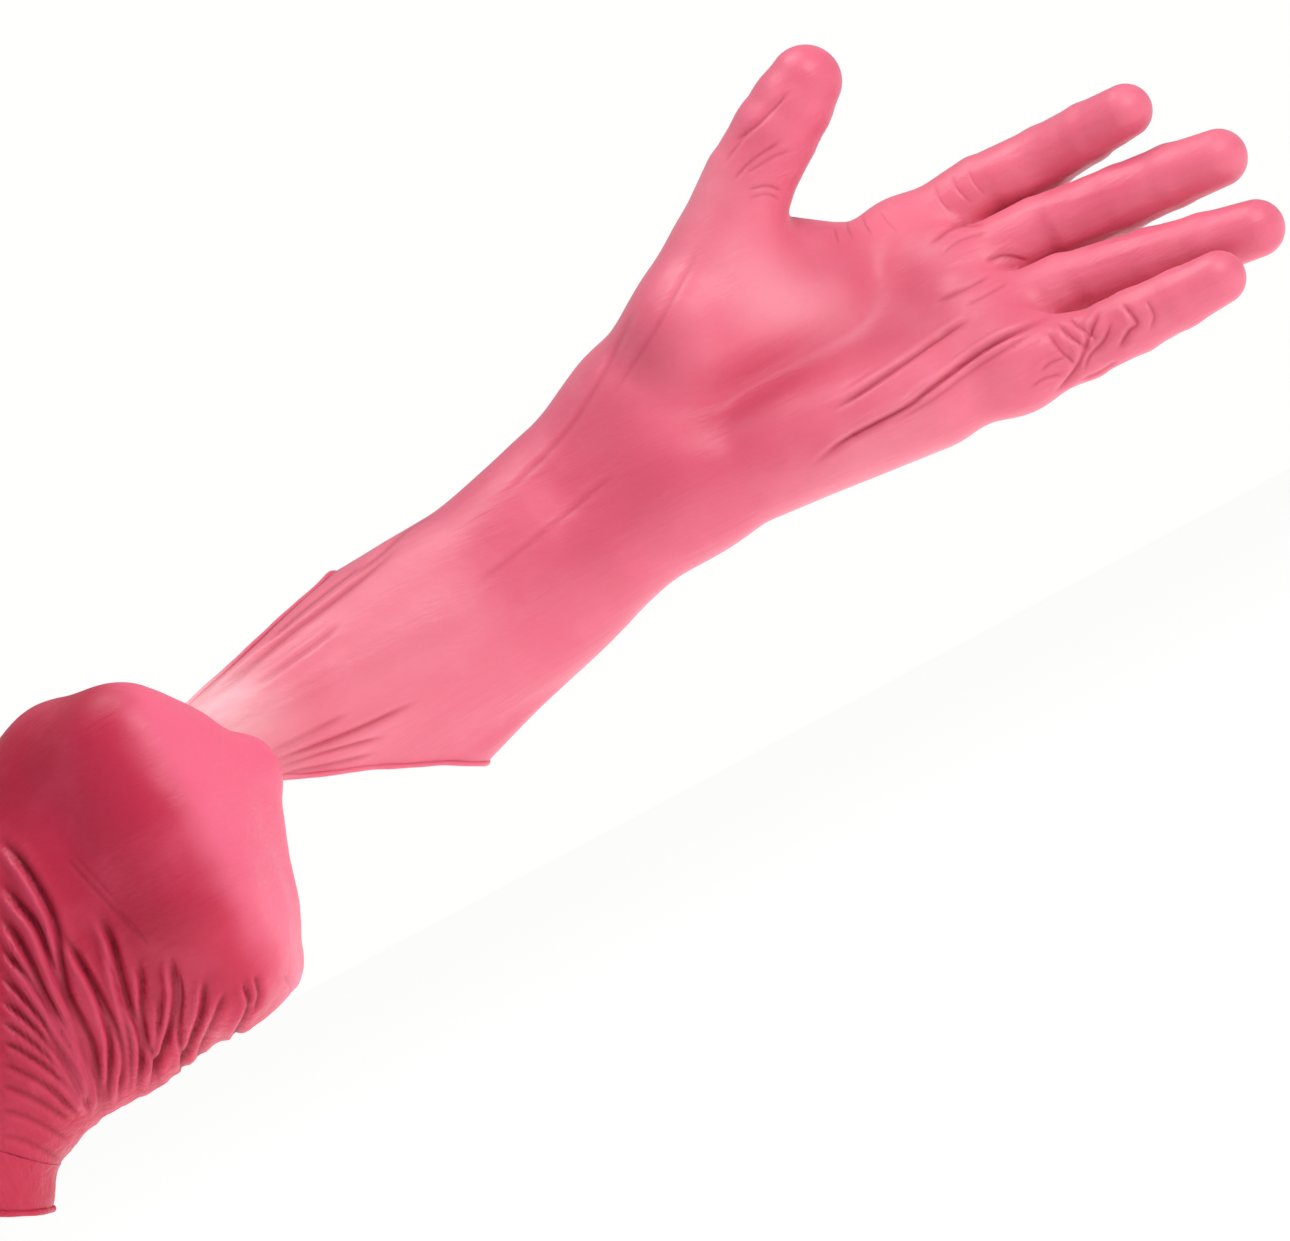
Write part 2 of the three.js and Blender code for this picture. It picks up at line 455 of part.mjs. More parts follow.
// ---------------------------------------------------------------- the pair
const pair = new THREE.Group();
function glove(side, digits, palm, wrist, part, sleeve, bends) {
  const group = new THREE.Group();
  group.name = side + "_glove";
  const film = () => new THREE.MeshStandardMaterial({ color: FILM[side], roughness: 0.42, metalness: 0 });
  const put = (name, geometry) => {
    geometry.computeVertexNormals();
    const mesh = new THREE.Mesh(geometry, film());
    mesh.name = side + "_" + name;
    group.add(mesh);
  };
  put("sleeve", sleeve.geometry);
  put("cuff_bead", bead(sleeve));
  const [palmSide, knuckleSide] = handShells(palm, digits, wrist, part, SKIN_STEP[side]);
  put("palm_shell", geometryOf(palmSide));
  put("knuckle_shell", geometryOf(knuckleSide));
  for (const [name, chain] of Object.entries(digits)) {
    const { base, tip } = stallPair(chain, name === "thumb" ? bends.thumb : bends.finger);
    put(name + "_base", base);
    put(name + "_tip", tip);
  }
  pair.add(group);
}
glove("left", LEFT_DIGITS, LEFT_PALM, LEFT_WRIST, LEFT_PART, leftSleeve(), LEFT_BENDS);
glove("right", RIGHT_DIGITS, RIGHT_PALM, RIGHT_WRIST, RIGHT_PART, rightSleeve(), RIGHT_BENDS);

export default pair;
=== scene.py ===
# A pair of long-cuff stretch film gloves, as worn: the left glove open, the right glove a fist that pulls the
# left cuff back. The film is a fine net wrapped round blended masses, with its folds moved into the mesh.
import bpy, math, time
import numpy as np
from mathutils import Matrix, Vector


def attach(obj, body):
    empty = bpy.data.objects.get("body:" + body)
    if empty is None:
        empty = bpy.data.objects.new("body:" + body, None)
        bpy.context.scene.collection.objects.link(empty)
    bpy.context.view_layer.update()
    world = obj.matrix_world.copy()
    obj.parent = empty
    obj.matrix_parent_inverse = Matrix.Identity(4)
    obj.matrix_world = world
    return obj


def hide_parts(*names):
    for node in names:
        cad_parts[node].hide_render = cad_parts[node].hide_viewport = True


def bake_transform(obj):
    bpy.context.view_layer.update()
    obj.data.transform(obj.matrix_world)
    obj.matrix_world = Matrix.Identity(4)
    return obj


T0 = time.time()
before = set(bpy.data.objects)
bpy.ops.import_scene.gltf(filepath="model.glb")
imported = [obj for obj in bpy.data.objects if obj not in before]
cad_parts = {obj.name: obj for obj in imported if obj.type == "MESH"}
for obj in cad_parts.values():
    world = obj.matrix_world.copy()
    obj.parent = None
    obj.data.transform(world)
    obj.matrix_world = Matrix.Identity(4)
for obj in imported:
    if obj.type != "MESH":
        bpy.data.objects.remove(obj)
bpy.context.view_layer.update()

# ------------------------------------------------------------------ camera first
MM = 0.001
PHI = math.radians(28)
CAM = np.array([-22.9, -1500.0, -36.3])
RIGHT = np.array([math.cos(PHI), 0, -math.sin(PHI)])
UP = np.array([math.sin(PHI), 0, math.cos(PHI)])
cam_data = bpy.data.cameras.new("camera")
cam = bpy.data.objects.new("camera", cam_data)
bpy.context.scene.collection.objects.link(cam)
cam_data.sensor_width = 36
cam_data.sensor_fit = "HORIZONTAL"
cam_data.lens = 36 * 1500 / (1290 * 0.265)
cam_data.clip_start, cam_data.clip_end = 0.05, 50
m = Matrix((
    (RIGHT[0], UP[0], 0, CAM[0] * MM),
    (RIGHT[1], UP[1], -1, CAM[1] * MM),
    (RIGHT[2], UP[2], 0, CAM[2] * MM),
    (0, 0, 0, 1)))
cam.matrix_world = m
bpy.context.scene.camera = cam


def drawing(p):
    """Where points in mm fall on the flat drawing of the pose that the fold tables use."""
    rel = p - CAM
    f = 1500.0 / rel[:, 1]
    return np.stack([645 + (rel @ RIGHT) * f / 0.265, 620.5 - (rel @ UP) * f / 0.265], -1)


# ------------------------------------------------------------------ the pair's masses, millimetres: [x, y, z, radius]
LEFT_DIGITS = {
    "thumb": [[30.3, -6, 31.2, 14.6], [55, -10, 52.4, 12.2], [67.4, -13, 60.7, 11.5], [74.4, -14, 64.9, 10.9], [80.6, -15, 68.8, 9.9]],
    "index": [[85.8, 19, 19.4, 11.2], [109.3, 15, 23, 9.7], [129, 8, 22.5, 9.1], [140.9, -2, 22.8, 8.2], [151.5, -12, 22.7, 7.4]],
    "middle": [[89.9, 7, 4, 11.8], [116.6, 3, 5.5, 9.8], [140.4, -8, 3, 9.2], [153.8, -15, 1.7, 8.7], [166, -22, 0, 7.9]],
    "ring": [[91.7, -6, -11.9, 11.8], [115, -9, -11, 9.4], [138, -17, -15.5, 9], [152, -23, -18.3, 8.5], [165.3, -28, -20.9, 7.8]],
    "little": [[93.3, -20, -22.1, 11.2], [111.4, -23, -26.6, 9], [126, -30, -27.4, 8.6], [138.4, -35, -27.8, 8], [149.4, -39, -27.8, 7.3]],
}
LEFT_PALM = [
    [[5.2, 6, 1.3, 17], [85.8, 19, 19.4, 11.5]],
    [[5.8, 2, -2.1, 16.5], [89.9, 7, 4, 12.2]],
    [[6.3, -4, -6.8, 15.3], [91.7, -6, -11.9, 12]],
    [[6.8, -8, -10.2, 13.8], [93.3, -20, -22.1, 11.7]],
    [[15.8, -12, -13.9, 12.6], [69.8, -20, -20.6, 11.8]],
    [[7.6, 0, 14.9, 17.8], [39, -6, 34.7, 16]],
    [[7.6, 0, 14.9, 17.8], [5.2, 0, -1, 18.6]],
    [[44, -4, 37.6, 12], [77.4, 14, 18.8, 9.4]],
    [[23.4, -12, 25.6, 16.4], [57.2, -2, 15.7, 11]],
    [[85.8, 19, 19.4, 11.2], [89.9, 7, 4, 11.8]],
    [[89.9, 7, 4, 11.8], [91.7, -6, -11.9, 11.8]],
    [[91.7, -6, -11.9, 11.8], [93.3, -20, -22.1, 11.2]],
    [[-2.3, 5, 9.8, 19], [2.1, -5, -8.4, 18.4]],
    [[-2.3, 5, 9.8, 19], [-43.1, 4, -0.1, 19]],
    [[2.1, -5, -8.4, 18.4], [-38.5, -4, -18.3, 18.4]],
]
RIGHT_DIGITS = {
    "thumb": [[-181, -62, -8.1, 12.5], [-175.4, -56, -8, 11.6], [-166.8, -47, -7.6, 10.8], [-159.5, -42.8, -9.6, 10], [-152.7, -40.8, -11.3, 9]],
    "index": [[-130.8, -80, -22.8, 8.8], [-138.2, -74.1, -21.8, 8.3], [-148.5, -66, -20.5, 7.9], [-152.6, -66.4, -19.4, 7.7], [-156.3, -68, -18.3, 7.4]],
    "middle": [[-139, -81, -37.2, 8.6], [-146.8, -75, -36.8, 8.2], [-158.6, -66, -36.3, 8], [-163.8, -67.6, -34.8, 7.7], [-168.6, -70, -33.1, 7.3]],
    "ring": [[-143.6, -81, -53.2, 8.4], [-151.3, -74.2, -53.8, 8], [-162.9, -64, -54.8, 7.8], [-168, -65.8, -53.6, 7.4], [-172.6, -68, -52.2, 7]],
    "little": [[-148.2, -78, -67.6, 7.8], [-156.1, -70.4, -70.2, 7.3], [-166.6, -60, -72.6, 7.2], [-171.8, -61, -72.3, 6.9], [-176, -63, -71.8, 6.5]],
}
RIGHT_PALM = [
    [[-219.3, -92, -40.2, 18], [-152, -105, -4.2, 11.6]],
    [[-215.3, -94, -46.4, 17], [-151.8, -109, -24.9, 12]],
    [[-212.8, -94, -54.8, 16.5], [-152, -109, -45.4, 11.6]],
    [[-209.1, -92, -62.8, 14], [-154.8, -103, -62.8, 10.6]],
    [[-152, -105, -4.2, 11.4], [-151.8, -109, -24.9, 11.8]],
    [[-151.8, -109, -24.9, 11.8], [-152, -109, -45.4, 11.4]],
    [[-152, -109, -45.4, 11.4], [-154.8, -103, -62.8, 10.2]],
    [[-218, -86, -28.5, 17], [-190.5, -84, -7.9, 14.6]],
    [[-190.5, -84, -7.9, 14.6], [-167.2, -90, -1.4, 13.2]],
    [[-167.2, -90, -1.4, 13.2], [-152, -105, -4.2, 11.6]],
    [[-213.4, -84, -29.6, 17], [-180.6, -64, -8.2, 13]],
    [[-167.2, -90, -1.4, 13.2], [-173.5, -70, -4.6, 11]],
    [[-222.2, -90, -45.6, 19.5], [-212.2, -90, -57.0, 19.5]],
    [[-222.2, -90, -45.6, 19.5], [-247.4, -90, -65.2, 20]],
    [[-212.2, -90, -57.0, 19.5], [-234.8, -90, -79.6, 20]],
    [[-209.1, -90, -62.8, 14], [-184.7, -88, -66.2, 12.5]],
    [[-184.7, -88, -66.2, 12.5], [-163.4, -90.5, -69.4, 8.8]],
    [[-152, -105, -4.2, 11.6], [-130.8, -80, -22.8, 8.6]],
    [[-151.8, -109, -24.9, 12], [-139, -81, -37.2, 7.6]],
    [[-152, -109, -45.4, 11.6], [-143.6, -81, -53.2, 7.2]],
    [[-154.8, -103, -62.8, 10.4], [-148.2, -78, -67.6, 7.6]],
    [[-141.4, -92.5, -12.8, 10.4], [-145.4, -95, -31, 10.4]],
    [[-145.4, -95, -31, 10.4], [-147.8, -95, -49.3, 10]],
    [[-147.8, -95, -49.3, 10], [-151.7, -90.5, -65.2, 8.8]],
    [[-131.8, -81.5, -24.5, 7.4], [-139, -82.5, -37.2, 7.4]],
    [[-139, -82.5, -37.2, 6.2], [-143.6, -82.5, -53.2, 6.0]],
    [[-143.6, -82.5, -53.2, 6.0], [-148, -79.5, -66.8, 5.8]],
]
LEFT = {
    "digits": LEFT_DIGITS, "palm": LEFT_PALM,
    "wrist": [0, 0, 0], "dir": [-0.9718, 0, -0.2365], "side": [-0.2365, 0, 0.9718],
    "half": 28.6, "deep": 22.0, "soft": 9.0, "draw": 0.0,
}
RIGHT_G = {
    "digits": RIGHT_DIGITS, "palm": RIGHT_PALM,
    "wrist": [-217.3, -90, -51.3], "dir": [-0.7524, 0, -0.6589], "side": [-0.6589, 0, 0.7524],
    "half": 33.5, "deep": 23.0, "rim_out": [-0.513, 0, -0.8583], "rim_at": [-247.5, -90, -80.5],
    "soft": 15.0, "draw": 1.5,
}
LEFT_RIM = [
    [-89.4, 0, 13.6], [-100.2, -10, 11.2], [-112.9, -20, 7.5], [-125.9, -31, 3.4], [-138.7, -40, -1], [-146, -47, -5], [-151.5, -52.5, -8.6],
    [-153.6, -54.8, -10.8], [-154, -55, -12.6], [-153.8, -54.8, -14.6], [-150.5, -52, -16.6], [-143, -47, -19.8],
    [-134, -43, -23.4], [-124, -38, -27.8], [-113.5, -30, -32.2], [-104, -23, -36], [-95, -15, -40.4], [-86.5, -7, -44.4],
    [-79.5, 0, -48.6], [-76.9, 9, -49.4], [-79, 17.5, -43.5], [-81.5, 23, -33], [-84, 24.5, -21.5], [-86.4, 23.5, -10], [-88.3, 19, 0.2], [-89.4, 10, 8.8],
]
BOUNDARY = 22.0  # how far past the wrist the hand's film runs before the cuff's film takes over
SKIN = 0.2  # the visible film stands this far inside the nominal radii
WALL = 0.35

STEP = 1.0  # net of a hand
FINE = 0.85  # net of a digit

unit = lambda v: np.asarray(v, float) / np.linalg.norm(v)


# ------------------------------------------------------------------ distance fields
def cone(X, a, b, ra, rb):
    ba = b - a
    l2 = ba @ ba
    rr = ra - rb
    a2 = l2 - rr * rr
    pa = X - a
    y = pa @ ba
    z = y - l2
    pl = pa - np.multiply.outer(y / l2, ba)
    x2 = (pl * pl).sum(-1) * l2 * l2
    y2, z2 = y * y * l2, z * z * l2
    k = np.sign(rr) * rr * rr * x2
    d = (np.sqrt(np.maximum(x2 * a2 / l2, 0)) + y * rr) / l2 - ra
    d = np.where(np.sign(y) * a2 * y2 < k, np.sqrt(x2 + y2) / l2 - ra, d)
    return np.where(np.sign(z) * a2 * z2 > k, np.sqrt(x2 + z2) / l2 - rb, d)


def smin(a, b, k):
    h = np.maximum(k - np.abs(a - b), 0) / k
    return np.minimum(a, b) - h * h * k * 0.25


def masses_of(rows):
    return [(np.array(a[:3], float), np.array(b[:3], float), a[3] - SKIN, b[3] - SKIN) for a, b in rows]


def stub_of(d, run=5.0):
    a, b = np.array(d[0][:3], float), np.array(d[1][:3], float)
    return (a, b + unit(b - a) * run, d[0][3] - SKIN, d[1][3] - SKIN)


def chain_of(d):
    return [(np.array(a[:3], float), np.array(b[:3], float), a[3] - SKIN, b[3] - SKIN) for a, b in zip(d[:-1], d[1:])]


def union(X, rows, k, start=None):
    f = np.full(X.shape[:-1], 1e3) if start is None else start
    for r in rows:
        f = smin(f, cone(X, *r), k)
    return f


def near_union(X, rows, k):
    """union over a block of points, with each mass worked out only near it."""
    lo, hi = X.reshape(-1, 3).min(0), X.reshape(-1, 3).max(0)
    f = np.full(X.shape[:-1], 1e3)
    for a, b, ra, rb in rows:
        r = max(ra, rb) + k + 6
        if (np.minimum(a, b) - r > hi).any() or (np.maximum(a, b) + r < lo).any():
            continue
        f = smin(f, cone(X, a, b, ra, rb), k)
    return f


def hand_field(glove):
    soft = glove["soft"]
    palm = [(a, b, ra - glove["draw"], rb - glove["draw"]) for a, b, ra, rb in masses_of(glove["palm"])]
    stubs = [stub_of(d) for d in glove["digits"].values()]

    def f(X):
        return smin(near_union(X, palm, soft), near_union(X, stubs, 1.0), 5.0)
    return f


def digit_field(glove, name):
    hand = hand_field(glove)
    d = glove["digits"][name]
    chain = chain_of(d)
    c, u = np.array(d[1][:3], float), unit(np.array(d[1][:3], float) - np.array(d[0][:3], float))

    def f(X):
        own = union(X, chain, 1.2)
        t = np.clip(((X - c) @ u) / 7.0, 0, 1)
        # far along the digit only its own masses count
        first = np.minimum(cone(X, *chain[0]), cone(X, *chain[1]))
        rest = union(X, chain[2:], 1.0)
        w = np.maximum(t * t * (3 - 2 * t), np.clip((first - rest - 1.0) / 3.0, 0, 1))
        return hand(X) * (1 - w) + own * w
    return f


def grid_values(f, lo, hi, h):
    n = np.ceil((hi - lo) / h).astype(int) + 1
    ax = [lo[i] + h * np.arange(n[i]) for i in range(3)]
    F = np.full(n, 1e3, np.float32)
    B = 24
    for i in range(0, n[0], B):
        for j in range(0, n[1], B):
            for k in range(0, n[2], B):
                c = [ax[0][i:i + B], ax[1][j:j + B], ax[2][k:k + B]]
                mid = np.array([[[[(q[0] + q[-1]) / 2 for q in c]]]])
                rad = 0.5 * math.sqrt(sum((q[-1] - q[0]) ** 2 for q in c))
                if abs(float(f(mid)[0, 0, 0])) > rad + 12:
                    F[i:i + B, j:j + B, k:k + B] = float(f(mid)[0, 0, 0])
                    continue
                X = np.stack(np.meshgrid(*c, indexing="ij"), -1)
                F[i:i + B, j:j + B, k:k + B] = f(X)
    return F


def surface_nets(F, lo, h):
    n = F.shape
    s = F < 0
    c = [s[i:n[0] - 1 + i, j:n[1] - 1 + j, k:n[2] - 1 + k] for i in (0, 1) for j in (0, 1) for k in (0, 1)]
    cnt = sum(x.astype(np.int8) for x in c)
    act = (cnt > 0) & (cnt < 8)
    idx = -np.ones(act.shape, np.int64)
    ii = np.argwhere(act)
    idx[act] = np.arange(len(ii))
    corners = [(i, j, k) for i in (0, 1) for j in (0, 1) for k in (0, 1)]
    val = {q: F[ii[:, 0] + q[0], ii[:, 1] + q[1], ii[:, 2] + q[2]].astype(float) for q in corners}
    acc, num = np.zeros((len(ii), 3)), np.zeros(len(ii))
    for q in corners:
        for ax in range(3):
            if q[ax] == 0:
                w = list(q)
                w[ax] = 1
                a, b = val[q], val[tuple(w)]
                hit = (a < 0) != (b < 0)
                t = np.where(hit, a / np.where(hit, a - b, 1), 0)
                p = np.tile(np.array(q, float), (len(ii), 1))
                p[:, ax] += t
                acc[hit] += p[hit]
                num += hit
    V = lo + (ii + acc / num[:, None]) * h
    faces = []
    for ax in range(3):
        o = [a for a in range(3) if a != ax]
        s0 = [slice(1, n[i] - 1) for i in range(3)]
        s1 = [slice(1, n[i] - 1) for i in range(3)]
        s0[ax], s1[ax] = slice(0, n[ax] - 1), slice(1, n[ax])
        A, B = s[tuple(s0)], s[tuple(s1)]
        for flip, M in ((False, A & ~B), (True, ~A & B)):
            e = np.argwhere(M)
            if not len(e):
                continue
            e = e + np.array([0 if i == ax else 1 for i in range(3)])

            def cell(du, dv):
                q = e.copy()
                q[:, o[0]] -= du
                q[:, o[1]] -= dv
                return idx[q[:, 0], q[:, 1], q[:, 2]]
            quad = np.stack([cell(0, 0), cell(1, 0), cell(1, 1), cell(0, 1)], 1)
            if ax == 1:
                quad = quad[:, ::-1]
            if flip:
                quad = quad[:, ::-1]
            faces.append(quad)
    Q = np.concatenate(faces)
    return V, Q[(Q >= 0).all(1)]


def gradient(f, V, e=0.25):
    g = np.empty_like(V)
    for i in range(3):
        d = np.zeros(3)
        d[i] = e
        g[:, i] = (f(V + d) - f(V - d)) / (2 * e)
    return g


def settle(f, V, passes=2):
    for _ in range(passes):
        g = gradient(f, V)
        l2 = np.maximum((g * g).sum(1), 0.05)
        V = V - g * (np.clip(f(V), -1.5, 1.5) / l2)[:, None]
    return V


def relax(V, Q, passes=2, amount=0.5):
    """Evens out a net: each point moves towards the middle of its neighbours."""
    e = np.concatenate([Q[:, [0, 1]], Q[:, [1, 2]], Q[:, [2, 3]], Q[:, [3, 0]]])
    deg = np.bincount(e[:, 0], minlength=len(V)) + np.bincount(e[:, 1], minlength=len(V))
    for _ in range(passes):
        acc = np.zeros_like(V)
        for i in range(3):
            acc[:, i] = np.bincount(e[:, 0], V[e[:, 1], i], len(V)) + np.bincount(e[:, 1], V[e[:, 0], i], len(V))
        V = V + amount * (acc / np.maximum(deg, 1)[:, None] - V)
    return V


def normals_of(V, Q):
    a, b, c, d = V[Q[:, 0]], V[Q[:, 1]], V[Q[:, 2]], V[Q[:, 3]]
    fn = np.cross(c - a, d - b)
    N = np.zeros_like(V)
    for i in range(3):
        for k in range(4):
            N[:, i] += np.bincount(Q[:, k], fn[:, i], len(V))
    return N / np.maximum(np.linalg.norm(N, axis=1), 1e-12)[:, None]


# ------------------------------------------------------------------ noise
_rng = np.random.default_rng(11)
_PERM = np.concatenate([_rng.permutation(256)] * 3).astype(np.int64)
_G = unit(np.array([1.0, 0, 0])) * np.ones((256, 3))
_a = _rng.normal(size=(256, 3))
_G = _a / np.linalg.norm(_a, axis=1)[:, None]


def noise(P):
    i = np.floor(P).astype(np.int64)
    f = P - i
    i = i & 255
    u = f * f * f * (f * (f * 6 - 15) + 10)
    out = 0
    for dx in (0, 1):
        for dy in (0, 1):
            for dz in (0, 1):
                h = _PERM[_PERM[_PERM[(i[:, 0] + dx) & 255] + ((i[:, 1] + dy) & 255)] + ((i[:, 2] + dz) & 255)] & 255
                g = (_G[h] * (f - np.array([dx, dy, dz]))).sum(1)
                w = (u[:, 0] if dx else 1 - u[:, 0]) * (u[:, 1] if dy else 1 - u[:, 1]) * (u[:, 2] if dz else 1 - u[:, 2])
                out = out + g * w
    return out


def step(x, a, b):
    t = np.clip((x - a) / (b - a), 0, 1)
    return t * t * (3 - 2 * t)


def streaks(P, along, f_along, f_across, seed=0.0):
    """Noise drawn out along a direction."""
    along = unit(along)
    t = (P @ along)[:, None]
    return noise(P * f_across + along * t * (f_along - f_across) + seed)


def ridged(x, sharp=2.0):
    return np.maximum(1 - np.abs(x) * sharp, 0) ** 2


# ------------------------------------------------------------------ folds: polylines on the drawing, depth mm, half width mm
LEFT_FOLDS = [
    # long creases from the gap beside the little finger
    ([(1054, 316), (992, 345), (930, 389), (905, 408), (847, 439), (810, 468)], 1.1, 1.3, 0.5),
    ([(972, 318), (938, 339), (872, 385), (831, 412)], 0.95, 1.1, 0.5),
    ([(992, 275), (934, 304)], 0.5, 1.0, 0.5),
    ([(1010, 282), (965, 306)], 0.35, 0.9, 0.5),
    ([(1040, 330), (985, 362), (935, 398), (890, 425)], 0.4, 1.1, 0.5),
    ([(984, 225), (955, 227), (930, 244)], 0.6, 1.0, 0.5),
    ([(990, 232), (960, 240), (940, 256)], 0.35, 0.9, 0.5),
    ([(1030, 262), (1005, 256), (985, 262)], 0.6, 1.0, 0.5),
    ([(934, 182), (940, 200), (952, 214)], 0.22, 0.9, 0.5),
    ([(951, 173), (958, 190), (972, 204)], 0.25, 0.9, 0.5),
    ([(968, 168), (974, 183), (986, 196)], 0.15, 0.8, 0.5),
    # thumb
    ([(746, 190), (768, 186), (783, 192)], 0.55, 0.9, 0.5),
    ([(748, 198), (766, 194), (780, 200)], 0.3, 0.8, 0.5),
    ([(731, 182), (752, 160), (781, 140)], 0.45, 1.0, 0.5),
    ([(733, 144), (760, 122), (779, 103), (789, 90)], 0.45, 1.0, 0.5),
    ([(722, 166), (742, 140), (768, 116)], 0.3, 0.9, 0.5),
    ([(742, 176), (770, 158), (795, 150)], 0.3, 0.9, 0.5),
    ([(835, 228), (838, 238), (840, 244)], 0.3, 0.8, 0.6),
    ([(846, 218), (850, 232), (854, 238)], 0.3, 0.8, 0.6),
    ([(862, 214), (868, 228), (873, 234)], 0.3, 0.8, 0.6),
    ([(880, 210), (890, 224), (898, 232)], 0.15, 0.8, 0.6),
    # wavy wrinkles at the root of the little finger
    ([(1100, 310), (1090, 335), (1079, 364), (1066, 382), (1054, 393)], 0.8, 1.1, 0.5),
    ([(1121, 302), (1137, 323), (1129, 331), (1118, 350)], 0.8, 1.0, 0.5),
    ([(1058, 322), (1072, 338), (1090, 350)], 0.7, 1.0, 0.5),
    ([(1070, 318), (1083, 330), (1098, 340)], 0.6, 0.9, 0.5),
    ([(1048, 330), (1060, 350), (1078, 366)], 0.6, 0.9, 0.5),
    ([(1112, 322), (1104, 340), (1090, 356), (1084, 372)], 0.7, 0.9, 0.5),
    ([(1040, 372), (1052, 362), (1070, 356)], 0.5, 0.9, 0.5),
    ([(1030, 388), (1046, 378), (1062, 374)], 0.45, 0.9, 0.5),
    ([(1146, 300), (1154, 316), (1150, 330)], 0.45, 0.9, 0.5),
    ([(1080, 380), (1100, 372), (1118, 360)], 0.45, 0.9, 0.5),
    # folds of the pulled cuff, upper edge
    ([(428, 511), (390, 535), (332, 572), (256, 641), (183, 710)], 1.0, 1.2, 0.7),
    ([(404, 545), (332, 602), (290, 633), (244, 671), (200, 704)], 0.7, 1.1, 0.7),
    ([(372, 560), (320, 598), (262, 648)], 0.5, 1.0, 0.6),
    ([(440, 512), (412, 527), (384, 552), (350, 580)], 0.5, 1.1, 0.6),
    ([(345, 622), (300, 655), (250, 690)], 0.35, 1.3, 0.6),
    # lower edge
    ([(263, 765), (300, 752), (359, 729), (420, 700)], 0.7, 1.2, 0.7),
    ([(267, 771), (300, 760), (332, 750), (390, 735)], 0.6, 1.0, 0.7),
    ([(275, 778), (300, 770), (328, 765), (380, 752)], 0.5, 0.9, 0.7),
    ([(262, 756), (300, 738), (350, 712)], 0.35, 1.2, 0.6),
    # faint tension lines of the wrist
    ([(640, 300), (600, 380), (560, 440), (500, 500)], 0.22, 1.6, 0.5),
    ([(700, 250), (655, 330), (610, 400)], 0.2, 1.6, 0.5),
    ([(620, 470), (560, 520), (470, 590)], 0.18, 1.8, 0.5),
]
RIGHT_FOLDS = [
    # long folds that run down the back of the hand to the pinch of film under the wrist
    ([(0, 839), (21, 862), (39, 889), (50, 910), (57, 931), (62, 964), (68, 992), (82, 1021), (93, 1046), (101, 1085), (104, 1118)], 1.5, 1.9, 0.2),
    ([(0, 881), (18, 903), (36, 924), (46, 946), (57, 978), (71, 1014), (82, 1039), (92, 1067), (97, 1092), (98, 1120)], 1.7, 1.9, 0.2),
    ([(0, 914), (18, 939), (32, 964), (46, 992), (64, 1021), (80, 1049), (89, 1080), (91, 1112)], 1.5, 1.8, 0.2),
    ([(62, 931), (77, 956), (89, 978), (100, 1003), (110, 1039), (109, 1071), (108, 1089), (110, 1112)], 1.2, 1.6, 0.4),
    ([(66, 942), (86, 971), (104, 1003), (118, 1031), (124, 1060), (120, 1085), (118, 1106)], 1.0, 1.5, 0.4),
    ([(95, 910), (111, 939), (120, 971), (129, 1003), (139, 1031), (142, 1058), (139, 1082), (138, 1100)], 1.8, 1.8, 0.5),
    ([(105, 946), (116, 981), (123, 1010), (130, 1042), (131, 1072), (128, 1098)], 1.1, 1.4, 0.5),
    ([(137, 956), (142, 981), (142, 1010), (147, 1039), (156, 1066), (158, 1090)], 1.1, 1.5, 0.5),
    ([(170, 954), (176, 989), (173, 1017), (164, 1046), (153, 1072), (150, 1092)], 1.5, 1.6, 0.4),
    ([(179, 968), (182, 996), (179, 1028), (182, 1056), (184, 1078)], 0.9, 1.3, 0.5),
    ([(205, 976), (202, 1010), (193, 1036), (184, 1058), (180, 1074)], 1.1, 1.4, 0.5),
    ([(226, 990), (214, 1020), (202, 1044), (196, 1062)], 0.8, 1.2, 0.5),
    ([(242, 980), (249, 1000), (246, 1016), (236, 1034), (230, 1048)], 1.0, 1.3, 0.5),
    ([(255, 974), (259, 994), (254, 1012)], 0.9, 1.2, 0.5),
    ([(282, 974), (292, 986), (288, 996)], 0.5, 1.1, 0.5),
    ([(160, 990), (160, 1020), (152, 1056), (146, 1084)], 0.7, 1.3, 0.5),
    # fine crosswise lines on the back of the hand
    ([(64, 855), (80, 873), (100, 894), (124, 920), (146, 942)], 0.28, 1.0, 0.5),
    ([(72, 852), (96, 878), (118, 902)], 0.18, 0.9, 0.5),
    ([(112, 904), (134, 926), (150, 948)], 0.22, 0.9, 0.5),
    # the gathered film over the wrist
    ([(0, 945), (24, 972), (44, 1002), (62, 1034), (78, 1060), (87, 1084), (90, 1108)], 1.3, 1.6, 0.2),
    ([(0, 974), (22, 996), (42, 1020), (60, 1048), (76, 1072), (85, 1092), (90, 1116)], 1.0, 1.5, 0.2),
    ([(0, 998), (20, 1014), (42, 1036), (62, 1060), (77, 1084), (88, 1110)], 1.1, 1.5, 0.2),
    ([(0, 1020), (22, 1034), (44, 1052), (64, 1072), (78, 1092), (88, 1112)], 0.8, 1.4, 0.2),
    ([(0, 1040), (24, 1052), (48, 1068), (70, 1088), (84, 1108)], 0.8, 1.4, 0.2),
    ([(0, 1062), (26, 1074), (50, 1088), (78, 1114)], 0.6, 1.4, 0.2),
    ([(0, 1084), (26, 1094), (48, 1106), (70, 1120)], 0.55, 1.5, 0.2),
    ([(0, 1108), (26, 1116), (46, 1126), (68, 1140)], 0.45, 1.5, 0.2),
    ([(0, 1134), (24, 1140), (44, 1150), (62, 1160)], 0.35, 1.6, 0.2),
]


